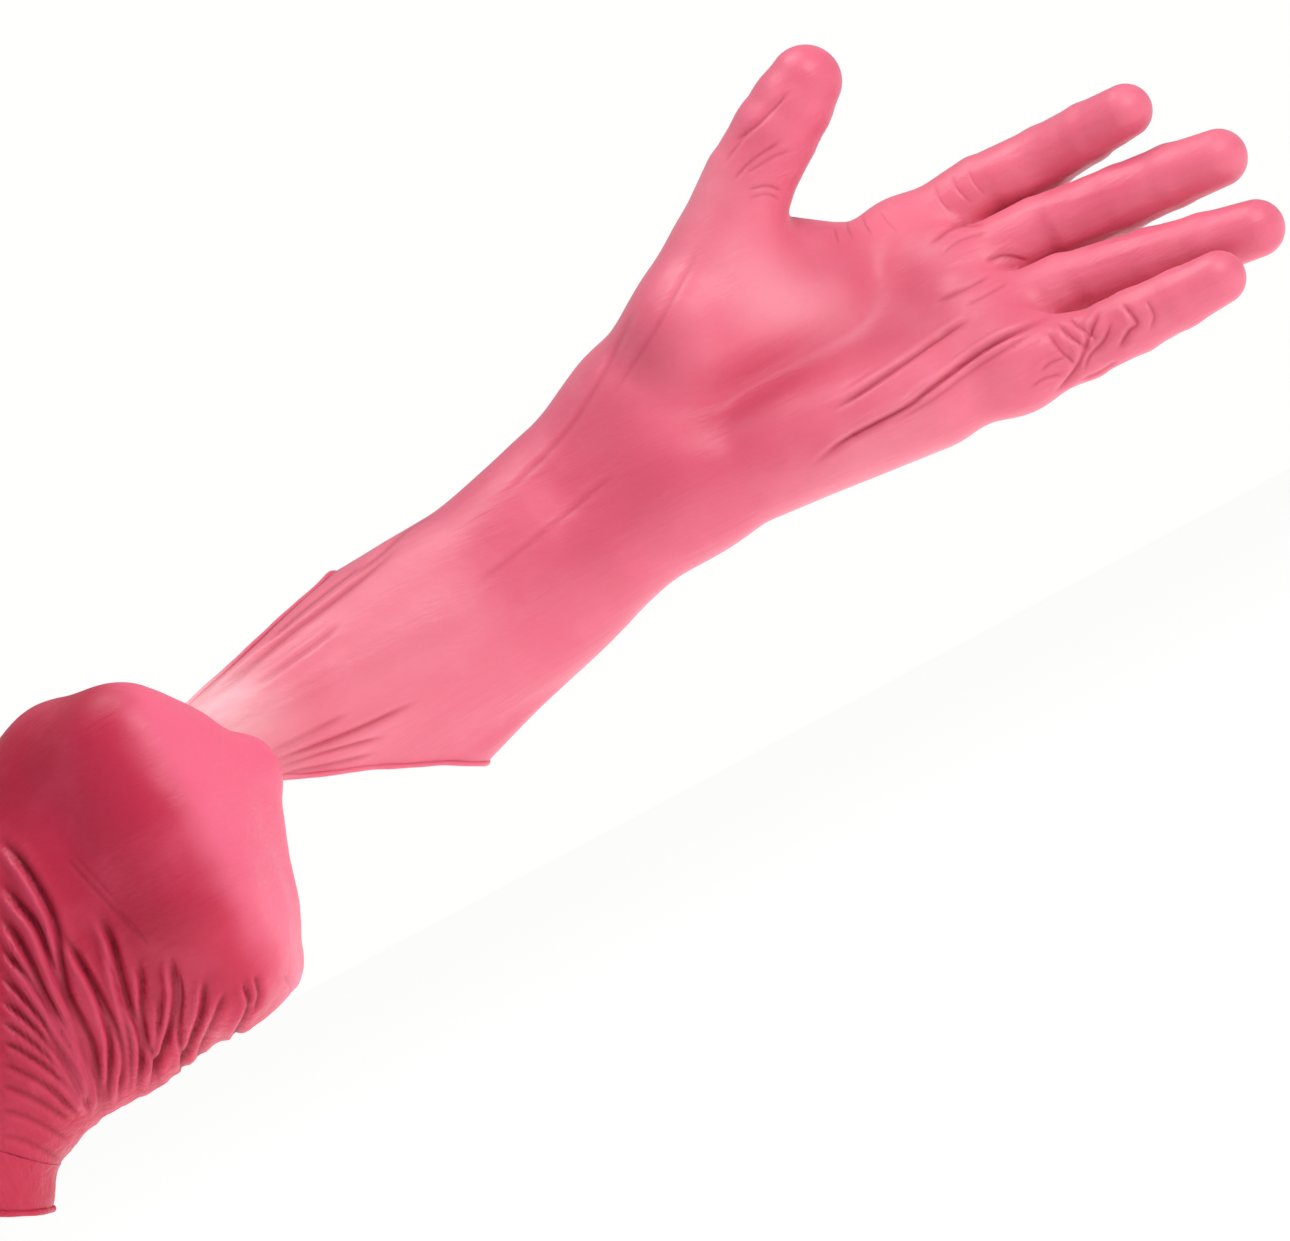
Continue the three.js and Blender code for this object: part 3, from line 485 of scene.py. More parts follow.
def curve(line):
    """The smooth curve through a fold's points."""
    P = np.array(line, float)
    if len(P) < 3:
        return P
    E = np.concatenate([[2 * P[0] - P[1]], P, [2 * P[-1] - P[-2]]])
    out = []
    for i in range(1, len(E) - 2):
        p0, p1, p2, p3 = E[i - 1:i + 3]
        for t in (0, 0.25, 0.5, 0.75):
            out.append(0.5 * (2 * p1 + (p2 - p0) * t + (2 * p0 - 5 * p1 + 4 * p2 - p3) * t * t + (3 * p1 - p0 - 3 * p2 + p3) * t ** 3))
    return np.array(out + [P[-1]])


def channels(table):
    """Deals the folds into six sets, so that folds of one set lie well apart."""
    sets, out = [[] for _ in range(6)], []
    for line, depth, half, taper in table:
        P = np.array(line, float)
        t = np.linspace(0, 1, 24)
        u = np.linspace(0, 1, len(P))
        P = np.stack([np.interp(t, u, P[:, 0]), np.interp(t, u, P[:, 1])], -1)
        room = [min([np.linalg.norm(P[:, None] - q[None], axis=2).min() for q in c] or [1e3]) for c in sets]
        k = int(np.argmax(room))
        sets[k].append(P)
        out.append(k)
    return out


def fold_height(px, facing, table, sets):
    """Height of the folds, how deep in a valley a point lies, and for each of six sets of folds the signed
    distance to the nearest one with its strength, from which the film's shading draws the sharp crease."""
    h, deep = np.zeros(len(px)), np.zeros(len(px))
    X, A = np.full((len(px), 6), 3.0), np.zeros((len(px), 6))
    for (line, depth, half, taper), k in zip(table, sets):
        line = curve(line)
        w = half / 0.265
        wide = max(half, 1.35 * STEP) / 0.265
        lo, hi = line.min(0) - 6 * wide, line.max(0) + 6 * wide
        sel = np.where((px > lo).all(1) & (px < hi).all(1) & (facing > 0.01))[0]
        if not len(sel):
            continue
        P = px[sel]
        seg = np.linalg.norm(np.diff(line, axis=0), axis=1)
        run = np.concatenate([[0], np.cumsum(seg)])
        best, side, at = np.full(len(P), 1e9), np.zeros(len(P)), np.zeros(len(P))
        for i in range(len(line) - 1):
            a, d = line[i], line[i + 1] - line[i]
            t = np.clip(((P - a) @ d) / (d @ d), 0, 1)
            r = P - a - t[:, None] * d
            dist = np.sqrt((r * r).sum(1))
            s = np.sign(d[0] * r[:, 1] - d[1] * r[:, 0])
            m = dist < best
            best, side, at = np.where(m, dist, best), np.where(m, s, side), np.where(m, run[i] + t * seg[i], at)
        s = at / run[-1]
        env = step(s, -0.02, 0.25 * taper + 0.08) * (1 - step(s, 1 - 0.25 * taper - 0.08, 1.02))
        x = best * side / wide
        v = np.exp(-(best / (0.55 * wide)) ** 2)
        lip = np.exp(-((x - 1.25) / 0.8) ** 2) * 0.75 + np.exp(-((x + 1.3) / 0.9) ** 2) * 0.4
        a = depth * env * facing[sel]
        h[sel] += a * (lip - v) * half / (wide * 0.265)
        deep[sel] = np.maximum(deep[sel], v * env * facing[sel] * min(1.0, depth / 0.9))
        y = best * side / w
        power = env * facing[sel] * min(1.0, 0.08 + depth / 1.35) * (1 - step(np.abs(y), 1.6, 3.0))
        take = power > A[sel, k]
        idx = sel[take]
        X[idx, k], A[idx, k] = np.clip(y[take], -3, 3), power[take]
    return h, deep, X, A


def left_shape(P, N):
    """Height of the left glove's film over its smooth form, and how deep in a fold each point is."""
    px = drawing(P)
    facing = step(-N[:, 1], -0.05, 0.35)
    h, deep, X, A = fold_height(px, facing, LEFT_FOLDS, LEFT_SETS)
    # soft unevenness of stretched film
    h += 0.08 * noise(P / 15.0) + 0.02 * noise(P / 5.0 + 7)
    hand = step(P[:, 0], 60, 100)
    # fingers: slack film makes lengthwise and crosswise folds
    for name, d in LEFT_DIGITS.items():
        c, mpt, ept, t = (np.array(q[:3], float) for q in d[1:])
        u = unit(t - c)
        r = np.linalg.norm(np.cross(P - c, u), axis=1)
        s = (P - c) @ u
        here = (1 - step(r, d[1][3] * 1.35, d[1][3] * 1.9)) * step(s, -6, 3)
        long_ = ridged(streaks(P, u, 0.035, 0.24, 3.1 * len(name)), 3.2)
        h += here * 0.13 * (long_ - 0.3) * step(s, -4, 8) * (1 - step(s, 0.75 * np.linalg.norm(t - c), np.linalg.norm(t - c)))
        # the far side of each joint
        back = step(N[:, 1], -0.1, 0.5)
        for q in (mpt, ept):
            near = np.exp(-(((P - q) @ u) / 5.5) ** 2) * (1 - step(np.linalg.norm(P - q, axis=1), 13, 20))
            h += back * near * 0.45 * (ridged(streaks(P, np.cross(u, [0, 1, 0]), 0.06, 0.33, 9.0), 2.6) - 0.35)
    # back of the hand and cuff: fine tension folds towards the wrist
    back = step(N[:, 1], 0.0, 0.6) * (1 - hand)
    h += back * 0.35 * (ridged(streaks(P, [1, 0, 0.12], 0.012, 0.13, 21.0), 3.0) - 0.3)
    return h, deep, X, A


LEFT_SETS, RIGHT_SETS = channels(LEFT_FOLDS), channels(RIGHT_FOLDS)


def right_shape(P, N):
    px = drawing(P)
    facing = step(-N[:, 1], -0.75, -0.1)
    h, deep, X, A = fold_height(px, facing, RIGHT_FOLDS, RIGHT_SETS)
    h += 0.2 * noise(P / 12.0 + 3) + 0.06 * noise(P / 4.6 + 1)
    axis = np.array([0.7524, 0, 0.6589])
    wrist = np.array([-217.3, -90, -51.3])
    s = (P - wrist) @ axis
    # gathered film at the wrist and the cuff, all round
    gather = step(s, -46, -30) * 0.55 + (1 - step(s, -46, -30)) * 0.35
    gather = gather * (1 - step(s, 6, 34))
    rings = ridged(streaks(P, np.array([0.1, 0.25, 0.96]), 0.02, 0.125, 5.0), 2.0)
    fine = ridged(streaks(P, np.array([0.3, 0.2, 0.93]), 0.03, 0.21, 15.0), 1.8)
    back = 0.12 + 0.88 * step(N[:, 1], -0.35, 0.3)
    h += gather * back * (1.3 * (rings - 0.3) + 0.5 * (fine - 0.3))
    # palm side and finger backs
    rest = step(s, 10, 40) * step(N[:, 1], -0.1, 0.5)
    h += rest * 0.4 * (ridged(streaks(P, [0.6, 0.5, 0.4], 0.05, 0.21, 31.0), 2.6) - 0.3)
    return h, deep, X, A


# Painted highlight (+) and painted shade (-) in the film's colour: paler over the ball of the thumb, the lower edge of
# the palm and the cuff, darker across the middle of the palm to the wrist: [x, y, z, radius, amount], mm.
PAINTED_LIGHT_BALLS = [
    [44, -14, 56, 11, 0.5], [39, -16, 33, 12, 0.7], [45, -18, 21, 11, 0.8], [54, -20, 11, 11, 0.9],
    [68, -20, 10, 10, 0.5], [45, -18, 4, 12, -0.7], [28, -18, -3, 17, -0.9], [7, -18, -5, 19, -0.9],
    [-18, -18, -4, 20, -0.7], [-41, -18, -8, 20, -0.4], [67, -16, -4, 11, -0.4], [22, -20, -24, 13, 0.45],
    [43, -22, -27, 13, 0.5], [63, -22, -28, 13, 0.4], [-1, -18, -26, 13, 0.3], [-71, -22, -8, 24, 0.5],
    [-99, -26, -16, 18, 0.5],
]


def painted_light_at(P):
    t = np.zeros(len(P))
    for x, y, z, r, a in PAINTED_LIGHT_BALLS:
        t += a * np.exp(-((P - [x, y, z]) ** 2).sum(1) / (r * r))
    return np.clip(t, -1, 1)


# ------------------------------------------------------------------ nets to pieces
class Net:
    """A film surface: points, faces, normals, rest place, and depth in folds."""

    def __init__(self, V, Q, shape, pad_normals=None, base_normals=None):
        N = normals_of(V, Q) if base_normals is None else base_normals
        h, deep, X, A = shape(V, N)
        self.X, self.A = X, A
        self.base = V
        self.V = V + N * h[:, None]
        self.Q = Q
        self.N = normals_of(self.V, Q)
        self.deep = deep
        self.h = h

    def film(self):
        return Film(self.V, self.Q.tolist(), self.N, self.base, self.deep, self.h, self.X, self.A)


class Film:
    """A net that can be cut: V places, F faces, N normals, R rest places, D depth in folds, H height, X and A the
    distance to the creases and their strength."""

    def __init__(self, V, F, N, R, D, H, X, A):
        self.V, self.F, self.N, self.R, self.D, self.H, self.X, self.A = V, F, N, R, D, H, X, A

    def centres(self):
        if not self.F:
            return np.zeros((0, 3))
        n = np.array([len(f) for f in self.F])
        flat = np.concatenate([np.array(f) for f in self.F]) if n.min() != n.max() else np.array(self.F).ravel()
        own = np.repeat(np.arange(len(self.F)), n)
        out = np.zeros((len(self.F), 3))
        for i in range(3):
            out[:, i] = np.bincount(own, self.V[flat, i], len(self.F))
        return out / n[:, None]

    def keep(self, mask):
        self.F = [f for f, k in zip(self.F, mask) if k]

    def cut(self, co, no, where=None):
        """Removes what lies past a plane (the side its direction points to), among the faces that where says."""
        co, no = np.asarray(co, float), unit(no)
        s = (self.V - co) @ no
        s[np.abs(s) < 0.02] = 0
        C = self.centres()
        act = np.ones(len(self.F), bool) if where is None else where(C)
        sl = s.tolist()
        made, mids, out = {}, [], []
        base = len(self.V)
        for f, a in zip(self.F, act):
            if not a:
                out.append(f)
                continue
            v = [sl[i] for i in f]
            if max(v) <= 0:
                out.append(f)
            elif min(v) < 0:
                poly = []
                for k, i in enumerate(f):
                    j = f[(k + 1) % len(f)]
                    if sl[i] <= 0:
                        poly.append(i)
                    if sl[i] * sl[j] < 0:
                        key = (i, j) if i < j else (j, i)
                        if key not in made:
                            made[key] = base + len(mids)
                            mids.append((key[0], key[1], sl[key[0]] / (sl[key[0]] - sl[key[1]])))
                        poly.append(made[key])
                if len(poly) > 2:
                    out.append(poly)
        self.F = out
        if mids:
            a, b = np.array([q[0] for q in mids]), np.array([q[1] for q in mids])
            t = np.array([q[2] for q in mids])[:, None]
            for key in "VNRXA":
                x = getattr(self, key)
                setattr(self, key, np.concatenate([x, x[a] * (1 - t) + x[b] * t]))
            for key in "DH":
                x = getattr(self, key)
                setattr(self, key, np.concatenate([x, x[a] * (1 - t[:, 0]) + x[b] * t[:, 0]]))

    def largest(self):
        """Keeps only the biggest connected stretch of film."""
        e0 = np.array([f[k] for f in self.F for k in range(len(f))])
        e1 = np.array([f[(k + 1) % len(f)] for f in self.F for k in range(len(f))])
        lab = np.arange(len(self.V))
        while True:
            low = np.minimum(lab[e0], lab[e1])
            new = lab.copy()
            np.minimum.at(new, e0, low)
            np.minimum.at(new, e1, low)
            new = new[new]
            if (new == lab).all():
                break
            lab = new
        first = np.array([f[0] for f in self.F])
        best = np.bincount(lab[first]).argmax()
        self.keep(lab[first] == best)

    def arrays(self):
        used = np.unique(np.concatenate([np.array(f) for f in self.F]))
        to = -np.ones(len(self.V), int)
        to[used] = np.arange(len(used))
        F = [[int(to[i]) for i in f] for f in self.F]
        seen = {}
        for f in F:
            for k in range(len(f)):
                a, b = f[k], f[(k + 1) % len(f)]
                seen[(a, b)] = True
        E = [k for k in seen if (k[1], k[0]) not in seen]
        N = self.N[used]
        N = N / np.maximum(np.linalg.norm(N, axis=1), 1e-9)[:, None]
        return self.V[used], F, N, self.R[used], self.D[used], self.H[used], E, self.X[used], self.A[used]


def make_piece(name, arrays, material, wall=WALL):
    V, F, N, R, D, H, E, X, A = arrays
    n = len(V)
    inner = V - N * wall
    verts = np.concatenate([V, inner]) * MM
    faces = F + [[i + n for i in reversed(f)] for f in F] + [[b, a, a + n, b + n] for a, b in E]
    me = bpy.data.meshes.new(name)
    me.from_pydata(verts.tolist(), [], faces)
    me.polygons.foreach_set("use_smooth", np.ones(len(me.polygons), bool))
    a = me.attributes.new("rest", "FLOAT_VECTOR", "POINT")
    a.data.foreach_set("vector", (np.concatenate([R, R]) * MM).astype(np.float32).ravel())
    a = me.attributes.new("deep", "FLOAT", "POINT")
    a.data.foreach_set("value", np.concatenate([D, D]).astype(np.float32))
    a = me.attributes.new("rise", "FLOAT", "POINT")
    a.data.foreach_set("value", np.concatenate([H, H]).astype(np.float32))
    # tone: painted highlight (+) and painted shade (-) in the film's colour
    a = me.attributes.new("tone", "FLOAT", "POINT")
    a.data.foreach_set("value", np.tile(painted_light_at(R), 2).astype(np.float32))
    for key, val in (("crease_a", X[:, :3]), ("power_a", A[:, :3]), ("crease_b", X[:, 3:]), ("power_b", A[:, 3:])):
        a = me.attributes.new(key, "FLOAT_VECTOR", "POINT")
        a.data.foreach_set("vector", np.concatenate([val, val]).astype(np.float32).ravel())
    me.materials.append(material)
    me.update()
    me.normals_split_custom_set_from_vertices(np.concatenate([N, -N]).tolist())
    ob = bpy.data.objects.new(name, me)
    bpy.context.scene.collection.objects.link(ob)
    return ob


# ------------------------------------------------------------------ film material
def film_material(name, tone):
    mat = bpy.data.materials.new(name)
    mat.use_nodes = True
    nt = mat.node_tree
    nt.nodes.clear()
    N = nt.nodes.new
    L = nt.links.new

    def math_(op, a, b=None, c=None, clamp=False):
        n = N("ShaderNodeMath")
        n.operation = op
        n.use_clamp = clamp
        for i, x in enumerate((a, b, c)):
            if x is None:
                continue
            if isinstance(x, (int, float)):
                n.inputs[i].default_value = x
            else:
                L(x, n.inputs[i])
        return n.outputs[0]

    def ramp(x, a, b, c=0.0, d=1.0, smooth=True):
        n = N("ShaderNodeMapRange")
        n.interpolation_type = "SMOOTHSTEP" if smooth else "LINEAR"
        L(x, n.inputs["Value"])
        n.inputs["From Min"].default_value, n.inputs["From Max"].default_value = a, b
        n.inputs["To Min"].default_value, n.inputs["To Max"].default_value = c, d
        return n.outputs["Result"]

    def mix(fac, a, b):
        n = N("ShaderNodeMix")
        n.data_type = "RGBA"
        if isinstance(fac, (int, float)):
            n.inputs[0].default_value = fac
        else:
            L(fac, n.inputs[0])
        for i, x in ((6, a), (7, b)):
            if isinstance(x, tuple):
                n.inputs[i].default_value = x
            else:
                L(x, n.inputs[i])
        return n.outputs[2]

    def noise_(vec, scale, detail=3.0, rough=0.5):
        n = N("ShaderNodeTexNoise")
        n.inputs["Scale"].default_value = scale
        n.inputs["Detail"].default_value = detail
        n.inputs["Roughness"].default_value = rough
        L(vec, n.inputs["Vector"])
        return n.outputs["Fac"]

    def scaled(vec, s, rot=(0, 0, 0)):
        n = N("ShaderNodeMapping")
        n.inputs["Scale"].default_value = s
        n.inputs["Rotation"].default_value = rot
        L(vec, n.inputs["Vector"])
        return n.outputs["Vector"]

    rest = N("ShaderNodeAttribute")
    rest.attribute_name = "rest"
    deep = N("ShaderNodeAttribute")
    deep.attribute_name = "deep"
    rise = N("ShaderNodeAttribute")
    rise.attribute_name = "rise"
    p = rest.outputs["Vector"]
    # uneven pigment and stretch
    broad = noise_(p, 18.0, 2.0)
    patch = noise_(p, 70.0, 3.0)
    col = mix(ramp(broad, 0.35, 0.65), tone["deep"], tone["main"])
    col = mix(math_("MULTIPLY", ramp(patch, 0.45, 0.7), 0.25), col, tone["pale"])
    # painted highlight where the tone attribute is above zero, painted shade where it is below
    tn = N("ShaderNodeAttribute")
    tn.attribute_name = "tone"
    col = mix(ramp(tn.outputs["Fac"], 0.0, 1.0, 0.0, 0.8, False), col, tone["thin"])
    col = mix(ramp(tn.outputs["Fac"], 0.0, -1.0, 0.0, 0.85, False), col, tone["painted_shade"])
    # the sharp creases: for each set, a narrow valley and its two lips
    valley, ridge = None, None
    for letter in "ab":
        sx, sp = N("ShaderNodeSeparateXYZ"), N("ShaderNodeSeparateXYZ")
        for key, sep in (("crease_", sx), ("power_", sp)):
            at = N("ShaderNodeAttribute")
            at.attribute_name = key + letter
            L(at.outputs["Vector"], sep.inputs[0])
        for k in range(3):
            x, a = sx.outputs[k], sp.outputs[k]
            q = math_("MULTIPLY", x, 1 / 0.42)
            v = math_("MULTIPLY", math_("EXPONENT", math_("MULTIPLY", math_("MULTIPLY", q, q), -1.0)), a)
            q = math_("MULTIPLY", math_("SUBTRACT", x, 1.0), 1 / 0.55)
            r1 = math_("MULTIPLY", math_("EXPONENT", math_("MULTIPLY", math_("MULTIPLY", q, q), -1.0)), a)
            valley = v if valley is None else math_("MAXIMUM", valley, v)
            ridge = r1 if ridge is None else math_("MAXIMUM", ridge, r1)
    # folds: painted shade, darker and redder in the valleys, and painted highlight, a little paler on the crests
    col = mix(math_("MULTIPLY", deep.outputs["Fac"], 0.25, clamp=True), col, tone["fold"])
    col = mix(math_("MULTIPLY", valley, tone["dark"], clamp=True), col, tone["fold"])
    col = mix(math_("MULTIPLY", ridge, 0.45, clamp=True), col, tone["pale"])
    crest = ramp(rise.outputs["Fac"], 0.25, 1.1)
    col = mix(math_("MULTIPLY", crest, 0.35), col, tone["pale"])
    if "stretch" in tone:
        v = N("ShaderNodeVectorMath")
        v.operation = "DISTANCE"
        L(p, v.inputs[0])
        v.inputs[1].default_value = tone["stretch_at"]
        near = ramp(v.outputs["Value"], tone["stretch_r"], 0.0)
        near = math_("MULTIPLY", near, ramp(noise_(scaled(p, (40, 40, 120), (0, math.radians(25), 0)), 1.0, 3.0), 0.3, 0.7, 0.55, 1.0))
        col = mix(near, col, tone["stretch"])
    if "band" in tone:
        # painted light: the fist's side towards +x, over the knuckles and finger backs, is made paler, as lit from the
        # right
        sep = N("ShaderNodeSeparateXYZ")
        L(p, sep.inputs[0])
        wob = math_("MULTIPLY", math_("SUBTRACT", noise_(p, 45.0, 2.0), 0.5), 0.016)
        near = ramp(math_("ADD", sep.outputs[0], wob), *tone["band"])
        col = mix(math_("MULTIPLY", near, 0.85), col, tone["lit_side_colour"])
    bsdf = N("ShaderNodeBsdfPrincipled")
    out = N("ShaderNodeOutputMaterial")
    L(bsdf.outputs[0], out.inputs["Surface"])
    L(col, bsdf.inputs["Base Color"])
    bsdf.inputs["Specular IOR Level"].default_value = tone["spec"]
    bsdf.inputs["Sheen Weight"].default_value = tone.get("sheen", 0.25)
    bsdf.inputs["Sheen Roughness"].default_value = 0.45
    bsdf.inputs["Sheen Tint"].default_value = (1.0, 0.75, 0.8, 1.0)
    bsdf.inputs["Subsurface Weight"].default_value = 0.12
    bsdf.inputs["Subsurface Radius"].default_value = (1.0, 0.35, 0.3)
    bsdf.inputs["Subsurface Scale"].default_value = 0.003
    r = ramp(noise_(p, 55.0, 4.0), 0.3, 0.7, tone["rough"] - 0.05, tone["rough"] + 0.07)
    L(math_("ADD", r, math_("MULTIPLY", deep.outputs["Fac"], 0.1)), bsdf.inputs["Roughness"])
    # fine skin of the film: pores of the dip mould, hair-fine tension lines
    grain = noise_(p, 2600.0, 2.0, 0.6)
    lines = noise_(scaled(p, (60, 260, 420), (0, math.radians(tone["lines"]), 0)), 1.0, 4.0, 0.6)
    lines = ramp(lines, 0.35, 0.65)
    soft = noise_(p, 260.0, 3.0, 0.55)
    height = math_("ADD", math_("MULTIPLY", grain, 0.10), math_("MULTIPLY", lines, tone["line_amount"]))
    height = math_("ADD", height, math_("MULTIPLY", soft, 0.35))
    height = math_("ADD", height, math_("MULTIPLY", math_("SUBTRACT", math_("MULTIPLY", ridge, 0.7), valley), 2.2))
    if "gather" in tone:
        # hair-fine folds of the gathered film, drawn out along the pull
        sep = N("ShaderNodeSeparateXYZ")
        L(p, sep.inputs[0])
        g1 = ramp(noise_(scaled(p, (330, 230, 34), (0, math.radians(tone["gather"]), 0)), 1.0, 3.0, 0.55), 0.34, 0.66)
        zone = ramp(math_("ADD", math_("MULTIPLY", sep.outputs[0], 0.75), math_("MULTIPLY", sep.outputs[2], 0.66)), -0.150, -0.178)
        height = math_("ADD", height, math_("MULTIPLY", math_("MULTIPLY", g1, zone), 2.0))
    bump = N("ShaderNodeBump")
    bump.inputs["Strength"].default_value = 0.35
    bump.inputs["Distance"].default_value = 0.0004
    L(height, bump.inputs["Height"])
    L(bump.outputs["Normal"], bsdf.inputs["Normal"])
    return mat


def srgb(r, g, b):
    f = lambda c: (c / 255 / 12.92) if c <= 10 else ((c / 255 + 0.055) / 1.055) ** 2.4
    return (f(r), f(g), f(b), 1.0)


LEFT_FILM = film_material("left_film", {
    # fold and dark: the painted shade in the fold valleys; pale is also the painted highlight on the crests
    "main": (0.70, 0.119, 0.190, 1), "deep": (0.665, 0.101, 0.172, 1), "pale": (0.77, 0.180, 0.26, 1), "fold": (0.36, 0.004, 0.03, 1), "dark": 0.75,
    # painted highlight and painted shade colours, laid on by the tone attribute
    "thin": (0.79, 0.245, 0.31, 1), "painted_shade": (0.625, 0.070, 0.135, 1),
    "rough": 0.45, "lines": -20, "line_amount": 0.5, "sheen": 0.2, "spec": 0.4,
    "stretch": (0.92, 0.52, 0.56, 1), "stretch_at": (-0.140, -0.046, -0.008), "stretch_r": 0.038,
})
# The right glove is the same film as the left, given darker, redder colours throughout: painted shade over the fist.
RIGHT_FILM_SHADED = film_material("right_film", {
    # fold and dark: the painted shade in the fold valleys; pale is also the painted highlight on the crests
    "main": (0.53, 0.020, 0.064, 1), "deep": (0.46, 0.013, 0.048, 1), "pale": (0.66, 0.06, 0.13, 1), "fold": (0.18, 0.001, 0.010, 1), "dark": 0.8,
    # painted highlight and painted shade colours, laid on by the tone attribute
    "thin": (0.8, 0.2, 0.3, 1), "painted_shade": (0.4, 0.01, 0.04, 1),
    "rough": 0.45, "lines": 40, "line_amount": 0.5, "sheen": 0.06, "spec": 0.3,
    # painted light on the fist's side towards +x: its range in x and its paler colour come first on the line below
    "band": (-0.153, -0.138), "lit_side_colour": (0.80, 0.130, 0.225, 1), "gather": -12,
})


# ------------------------------------------------------------------ hands
def build_net(f, lo, hi, h, shape):
    F = grid_values(f, lo, hi, h)
    V, Q = surface_nets(F, lo, h)
    V = relax(V, Q, 3, 0.5)
    V = settle(f, V, 2)
    V = relax(V, Q, 1, 0.3)
    V = settle(f, V, 1)
    return Net(V, Q, shape)


def hand_piece(side, glove, shape, material, h):
    f = hand_field(glove)
    rows = masses_of(glove["palm"]) + [stub_of(d) for d in glove["digits"].values()]
    pts = np.array([p for r in rows for p in (r[0], r[1])])
    rad = 24
    lo, hi = pts.min(0) - rad, pts.max(0) + rad
    net = build_net(f, lo, hi, h, shape)
    film = net.film()
    d, at = np.array(glove["dir"]), np.array(glove["wrist"], float)
    film.cut(at + d * BOUNDARY, d)
    axes = {n: (np.array(q[1][:3], float), unit(np.array(q[1][:3], float) - np.array(q[0][:3], float)), q[1][3]) for n, q in glove["digits"].items()}

    def reach(P, n):
        c, u, r = axes[n]
        w = P - c
        t = w @ u
        return np.where(t < 12, np.linalg.norm(w - t[:, None] * u, axis=1), np.linalg.norm(w, axis=1)) - r
    for name, (c, u, r) in axes.items():
        def where(C, name=name, c=c, u=u, r=r):
            own = reach(C, name)
            ok = (np.linalg.norm(C - c, axis=1) < r + 14) & ((C - c) @ u > -4) & (own < 3.2)
            for n in axes:
                if n != name:
                    ok &= own <= reach(C, n)
            return ok
        film.cut(c, u, where)
    film.largest()
    return make_piece(side + "_hand_film", film.arrays(), material), f


def digit_pieces(side, glove, name, shape, material, h):
    f = digit_field(glove, name)
    d = glove["digits"][name]
    P = [np.array(q[:3], float) for q in d]
    u0, u1, u2 = unit(P[1] - P[0]), unit(P[2] - P[1]), unit(P[3] - P[2])
    pts = np.array(P[1:])
    lo, hi = pts.min(0) - 16, pts.max(0) + 16
    net = build_net(f, lo, hi, h, shape)
    mitre = unit(u1 + u2)
    chain = chain_of(d)
    film = net.film()
    C = film.centres()
    own = union(C, chain, 3.0)
    back = ((C - P[1]) @ u0 < -2.5) & (np.linalg.norm(C - P[1], axis=1) < d[1][3] + 10)
    film.keep((own < 3.5) & ~back)
    film.cut(P[1], -u0, lambda C: (np.linalg.norm(C - P[1], axis=1) < d[1][3] + 5) & ((C - P[1]) @ u0 < 4))
    film.largest()
    made = []
    for part in ("root", "end"):
        half = Film(film.V, list(film.F), film.N, film.R, film.D, film.H, film.X, film.A)
        sign = 1.0 if part == "root" else -1.0

        def near(C):
            return (np.linalg.norm(C - P[2], axis=1) < d[2][3] * 2.2) & (np.abs((C - P[2]) @ mitre) < 4)
        half.cut(P[2], mitre * sign, near)
        C = half.centres()
        t = (C - P[2]) @ mitre
        past = np.where(near(C), t > 0, union(C, chain[2:], 1.0) < cone(C, *chain[1]))
        half.keep(past == (part == "end"))
        half.largest()
        made.append(make_piece("%s_%s_%s_film" % (side, name, part), half.arrays(), material))
    return made


def section(f, centre, a, b, half, deep, angles, rmax=45.0):
    """Where rays from the centre in a plane meet the field's surface."""
    dirs = np.cos(angles)[:, None] * a * half + np.sin(angles)[:, None] * b * deep
    dirs /= np.linalg.norm(dirs, axis=1)[:, None]
    lo, hi = np.zeros(len(angles)), np.full(len(angles), rmax)
    for _ in range(22):
        mid = (lo + hi) / 2
        v = f(centre + dirs * mid[:, None])
        inside = v < 0
        lo, hi = np.where(inside, mid, lo), np.where(inside, hi, mid)
    return centre + dirs * lo[:, None]


def closed_spline(points, n_each):
    """A smooth closed curve through points, n_each samples per span."""
    P = np.array(points, float)
    n = len(P)
    out = []
    for i in range(n):
        p0, p1, p2, p3 = P[i - 1], P[i], P[(i + 1) % n], P[(i + 2) % n]
        for k in range(n_each):
            t = k / n_each
            out.append(0.5 * ((2 * p1) + (p2 - p0) * t + (2 * p0 - 5 * p1 + 4 * p2 - p3) * t * t + (3 * p1 - p0 - 3 * p2 + p3) * t ** 3))
    return np.array(out)


def loft_net(rows, shape, f=None):
    """A tube of film from rings of points: rows x columns x 3."""
    R, C = rows.shape[:2]
    V = rows.reshape(-1, 3)
    i, j = np.meshgrid(np.arange(R - 1), np.arange(C), indexing="ij")
    a, b = (i * C + j).ravel(), (i * C + (j + 1) % C).ravel()
    Q = np.stack([a, b, b + C, a + C], 1)
    mid = rows[0].mean(0)
    N = normals_of(V, Q)
    if ((rows[0] - mid) * N[:C]).sum() < 0:
        Q = Q[:, ::-1]
    return V, Q


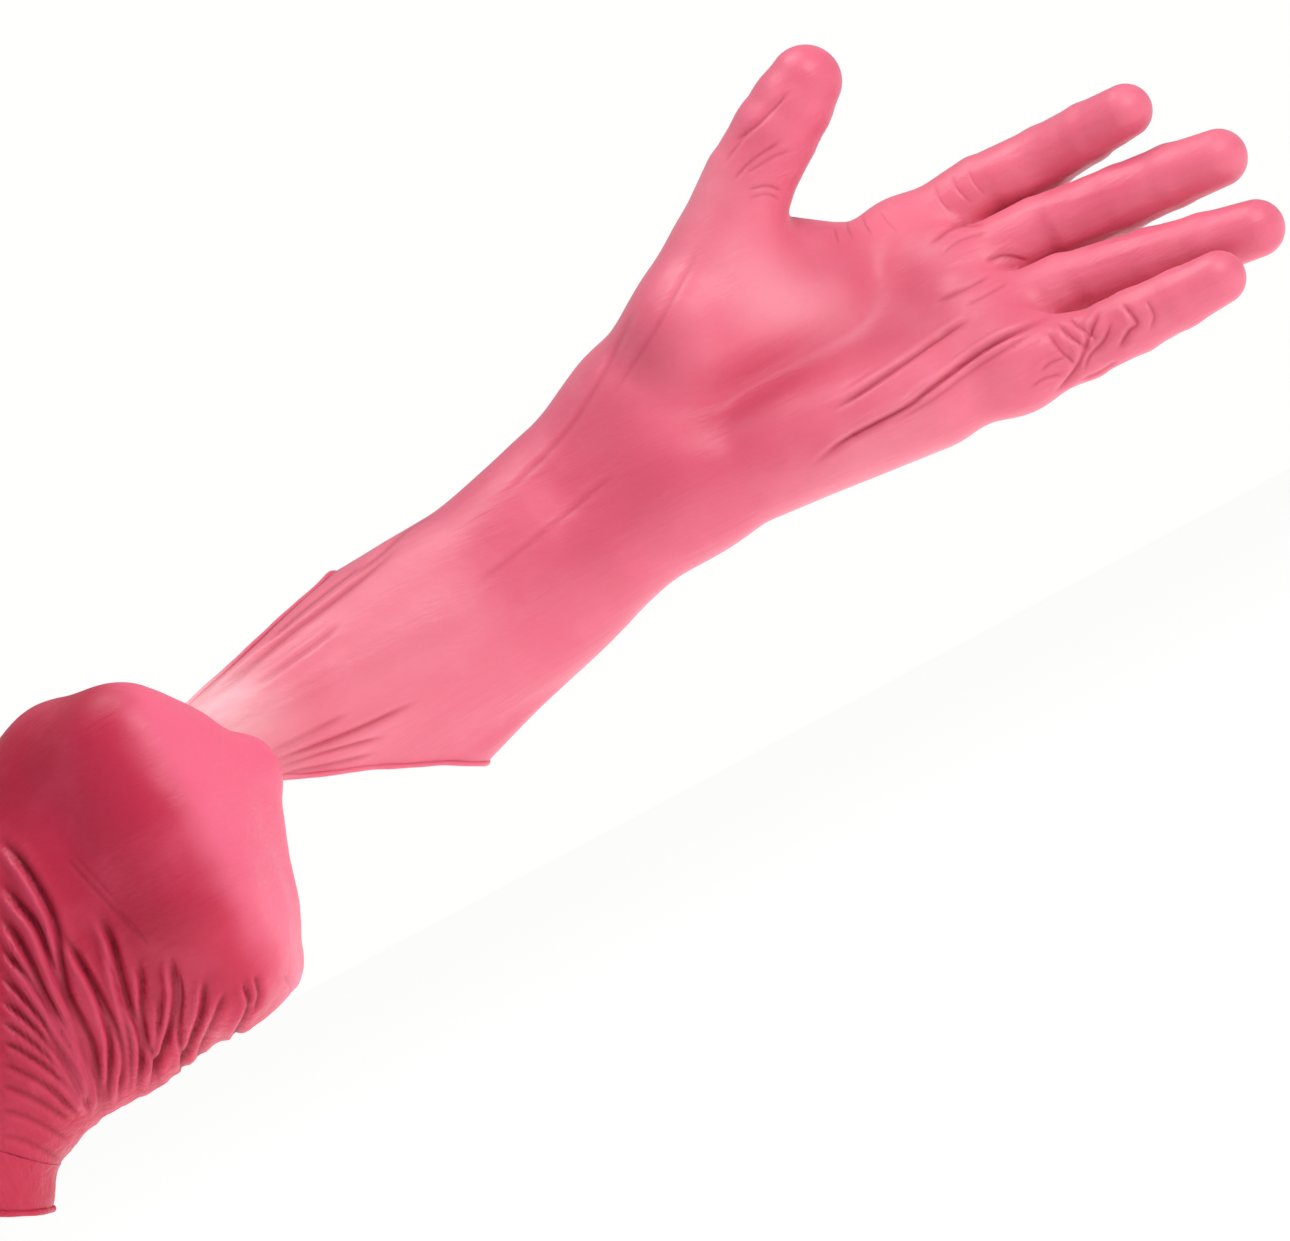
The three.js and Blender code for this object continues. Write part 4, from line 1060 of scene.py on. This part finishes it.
def left_cuff(glove, f, material, fine):
    per = 10
    rim = closed_spline(LEFT_RIM, per)
    N = len(LEFT_RIM)
    base = [math.pi * i / 18 if i < 19 else math.pi + math.pi * (i - 18) / (N - 18) for i in range(N)] + [2 * math.pi]
    angles = np.interp(np.arange(N * per) / per, np.arange(N + 1), base)
    d, side, y = np.array(glove["dir"]), np.array(glove["side"]), np.array([0.0, -1, 0])
    rows = []
    n0 = 30
    for s in np.linspace(BOUNDARY - 2.0, 52, n0):
        c = d * s
        deep = 21 + 2 * s / 52
        ell = c + np.cos(angles)[:, None] * side * (28.6 - SKIN) + np.sin(angles)[:, None] * y * (deep - SKIN)
        w = float(step(np.array(s), BOUNDARY + 1.0, 44.0))
        if w < 1:
            sec = section(f, c, side, y, 28.6, deep, angles)
            ell = sec * (1 - w) + ell * w
        rows.append(ell)
    leave = rows[-1]
    n1 = 110
    for t in np.linspace(0, 1, n1 + 1)[1:]:
        rows.append(leave * (1 - t) + rim * t)
    rows = np.array(rows)
    # ease the turn where the film leaves the forearm for the grip
    k = n0 - 1
    for _ in range(80):
        a, b = max(4, k - n0 // 2), k + n1 // 4
        rows[a:b] += 0.5 * ((rows[a - 1:b - 1] + rows[a + 1:b + 1]) / 2 - rows[a:b])
    V, Q = loft_net(rows, None)
    net = Net(V, Q, left_shape)
    film = net.film()
    film.cut(np.array(glove["wrist"]) + d * BOUNDARY, -d)
    arrays = film.arrays()
    edge = net.V.reshape(rows.shape)[-1]
    before = net.V.reshape(rows.shape)[-4]
    return make_piece("left_cuff_film", arrays, material), edge, before


def right_cuff(glove, f, material, fine):
    C = 300
    angles = np.arange(C) * 2 * math.pi / C
    d, side, y = np.array(glove["dir"]), np.array(glove["side"]), np.array([0.0, -1, 0])
    at = np.array(glove["wrist"], float)
    rim_at, rim_out = np.array(glove["rim_at"]), np.array(glove["rim_out"])

    def ring(s):
        return at + d * s + np.cos(angles)[:, None] * side * (30.6 - SKIN) + np.sin(angles)[:, None] * y * (22 - SKIN)
    last = ring(30)
    last = last + d * (((rim_at - last) @ rim_out) / (d @ rim_out))[:, None]
    s_last = (last - at) @ d
    s0 = BOUNDARY - 4.0
    rows = []
    n = 52
    for t in np.linspace(0, 1, n + 1):
        s = s0 + (s_last - s0) * t
        sec = section(f, at + d * (s0 + 12.0 * t), side, y, 30.6, 22, angles)
        sec = sec + d * (s - s0 - 12.0 * t)[:, None]
        w = float(step(np.array(t), 0.3, 1.0))
        rows.append(sec * (1 - w) + (ring(0) + d * s[:, None]) * w)
    rows = np.array(rows)
    V, Q = loft_net(rows, None)
    net = Net(V, Q, right_shape)
    film = net.film()
    film.cut(at + d * BOUNDARY, -d)
    arrays = film.arrays()
    G = net.V.reshape(rows.shape)
    return make_piece("right_cuff_film", arrays, material), G[-1], G[-4]


def rolled_rim(name, edge, before, material, r=0.85, seed=0.0):
    """The rolled edge of the cuff: a slim roll with the uneven twist that a rolled film has."""
    n, sides = len(edge), 14
    t = np.roll(edge, -1, 0) - np.roll(edge, 1, 0)
    t /= np.linalg.norm(t, axis=1)[:, None]
    away = edge - before
    away -= (away * t).sum(1)[:, None] * t
    away /= np.maximum(np.linalg.norm(away, axis=1), 1e-9)[:, None]
    for _ in range(6):
        away = (np.roll(away, 1, 0) + np.roll(away, -1, 0) + 2 * away) / 4
        away /= np.linalg.norm(away, axis=1)[:, None]
    v = np.cross(t, away)
    arc = np.concatenate([[0], np.cumsum(np.linalg.norm(np.diff(edge, axis=0), axis=1))])
    rr = r * (1 + 0.09 * noise(edge / 6.0 + seed) + 0.05 * np.sin(arc / 1.7))
    line = edge + away * (r * 0.82)
    ang = np.arange(sides) * 2 * math.pi / sides
    rings = line[:, None] + rr[:, None, None] * (np.cos(ang)[None, :, None] * away[:, None] + np.sin(ang)[None, :, None] * v[:, None])
    # the lap of the roll shows as a shallow groove
    groove = np.exp(-((ang - 2.2) / 0.35) ** 2) * 0.12 * r
    rings -= groove[None, :, None] * (np.cos(ang)[None, :, None] * away[:, None] + np.sin(ang)[None, :, None] * v[:, None])
    V = rings.reshape(-1, 3)
    i, j = np.meshgrid(np.arange(n), np.arange(sides), indexing="ij")
    a, b = (i * sides + j).ravel(), (i * sides + (j + 1) % sides).ravel()
    c, e = (((i + 1) % n) * sides + j).ravel(), (((i + 1) % n) * sides + (j + 1) % sides).ravel()
    Q = np.stack([a, b, e, c], 1)
    Nn = normals_of(V, Q)
    if ((V - np.repeat(line, sides, 0)) * Nn).sum() < 0:
        Q, Nn = Q[:, ::-1], -Nn
    me = bpy.data.meshes.new(name)
    me.from_pydata((V * MM).tolist(), [], Q.tolist())
    me.polygons.foreach_set("use_smooth", np.ones(len(me.polygons), bool))
    x = me.attributes.new("rest", "FLOAT_VECTOR", "POINT")
    x.data.foreach_set("vector", (V * MM).astype(np.float32).ravel())
    for key in ("deep", "rise", "tone"):
        x = me.attributes.new(key, "FLOAT", "POINT")
        x.data.foreach_set("value", np.zeros(len(V), np.float32))
    for key in ("crease_a", "power_a", "crease_b", "power_b"):
        x = me.attributes.new(key, "FLOAT_VECTOR", "POINT")
        x.data.foreach_set("vector", np.zeros(3 * len(V), np.float32))
    me.materials.append(material)
    ob = bpy.data.objects.new(name, me)
    bpy.context.scene.collection.objects.link(ob)
    return ob


def mm(p):
    return tuple(float(x) * MM for x in p)


def log(what):
    print("[%6.1f s] %s" % (time.time() - T0, what), flush=True)


def make_glove(side, glove, shape, material):
    film, f = hand_piece(side, glove, shape, material, STEP)
    log(side + " hand")
    at, d = np.array(glove["wrist"], float), np.array(glove["dir"])
    if side == "left":
        mm(at + d * 15)
        mm(at - d * 16)
        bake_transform(film)
    else:
        mm(at - d * 16)
        mm(at + d * 15)
        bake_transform(film)
    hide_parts(side + "_palm_shell", side + "_knuckle_shell")
    for name, dig in glove["digits"].items():
        P = [np.array(q[:3], float) for q in dig]
        u0, u2 = unit(P[1] - P[0]), unit(P[3] - P[2])
        u1 = unit(P[2] - P[1])
        m = unit(u1 + u2)
        root, end = digit_pieces(side, glove, name, shape, material, FINE)
        long_ = np.linalg.norm(P[2] - P[1])
        mm(P[1])
        mm(P[1] + u0 * min(12.0, 0.75 * long_))
        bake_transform(root)
        mm(P[2])
        mm(P[2] + m * 9.0)
        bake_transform(end)
        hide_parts("%s_%s_base" % (side, name))
        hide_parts("%s_%s_tip" % (side, name))
    log(side + " digits")
    return f


f_left = make_glove("left", LEFT, left_shape, LEFT_FILM)
film, edge, before = left_cuff(LEFT, f_left, LEFT_FILM, FINE)
PULL_A, PULL_B = (-112, -22, -8), (-150, -50, -12)
mm(PULL_A)
mm(PULL_B)
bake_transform(film)
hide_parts("left_sleeve")
bead = rolled_rim("left_cuff_roll", edge, before, LEFT_FILM, 0.8)
mm(PULL_A)
mm(PULL_B)
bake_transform(bead)
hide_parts("left_cuff_bead")
log("left cuff")

f_right = make_glove("right", RIGHT_G, right_shape, RIGHT_FILM_SHADED)
film, edge, before = right_cuff(RIGHT_G, f_right, RIGHT_FILM_SHADED, FINE)
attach(film, "right_cuff")
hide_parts("right_sleeve")
bead = rolled_rim("right_cuff_roll", edge, before, RIGHT_FILM_SHADED, 0.85, 4.0)
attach(bead, "right_cuff")
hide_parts("right_cuff_bead")
log("right cuff")

# ------------------------------------------------------------------ floor, light
floor_mesh = bpy.data.meshes.new("floor")
F = 4.0
floor_mesh.from_pydata([(-F, -F, 0), (F, -F, 0), (F, F, 0), (-F, F, 0)], [], [(0, 1, 2, 3)])
floor = bpy.data.objects.new("floor", floor_mesh)
floor.location = (0, 0, -0.20)
bpy.context.scene.collection.objects.link(floor)
fm = bpy.data.materials.new("floor")
fm.use_nodes = True
fb = fm.node_tree.nodes["Principled BSDF"]
fb.inputs["Base Color"].default_value = (0.94, 0.94, 0.935, 1)
fb.inputs["Roughness"].default_value = 0.9
fb.inputs["Emission Color"].default_value = (1, 1, 0.995, 1)
fb.inputs["Emission Strength"].default_value = 0.63
floor_mesh.materials.append(fm)

# a white backdrop: what the camera sees of it is full white, what it throws on the gloves is soft and dimmer
world = bpy.data.worlds.new("world")
bpy.context.scene.world = world
world.use_nodes = True
wt = world.node_tree
bg = wt.nodes["Background"]
bg.inputs["Color"].default_value = (1, 1, 0.995, 1)
bg.inputs["Strength"].default_value = 0.36
seen = wt.nodes.new("ShaderNodeBackground")
seen.inputs["Color"].default_value = (1, 1, 0.992, 1)
seen.inputs["Strength"].default_value = 1.0
path, pick = wt.nodes.new("ShaderNodeLightPath"), wt.nodes.new("ShaderNodeMixShader")
wt.links.new(path.outputs["Is Camera Ray"], pick.inputs[0])
wt.links.new(bg.outputs[0], pick.inputs[1])
wt.links.new(seen.outputs[0], pick.inputs[2])
wt.links.new(pick.outputs[0], wt.nodes["World Output"].inputs["Surface"])


def area(name, at, to, size, power, color=(1, 1, 1)):
    l = bpy.data.lights.new(name, "AREA")
    l.shape = "DISK"
    l.size = size
    l.energy = power
    l.color = color
    o = bpy.data.objects.new(name, l)
    bpy.context.scene.collection.objects.link(o)
    o.location = at
    o.rotation_euler = (Vector(to) - Vector(at)).to_track_quat("-Z", "Y").to_euler()
    return o


area("key", (0.36, -0.44, 0.36), (0.03, 0, 0.0), 0.3, 2.48)
area("top", (0.0, -0.05, 0.9), (-0.08, -0.04, -0.02), 0.5, 4.6)
bpy.context.scene.view_settings.view_transform = "Standard"
bpy.context.scene.view_settings.look = "None"

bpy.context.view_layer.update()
log("done")
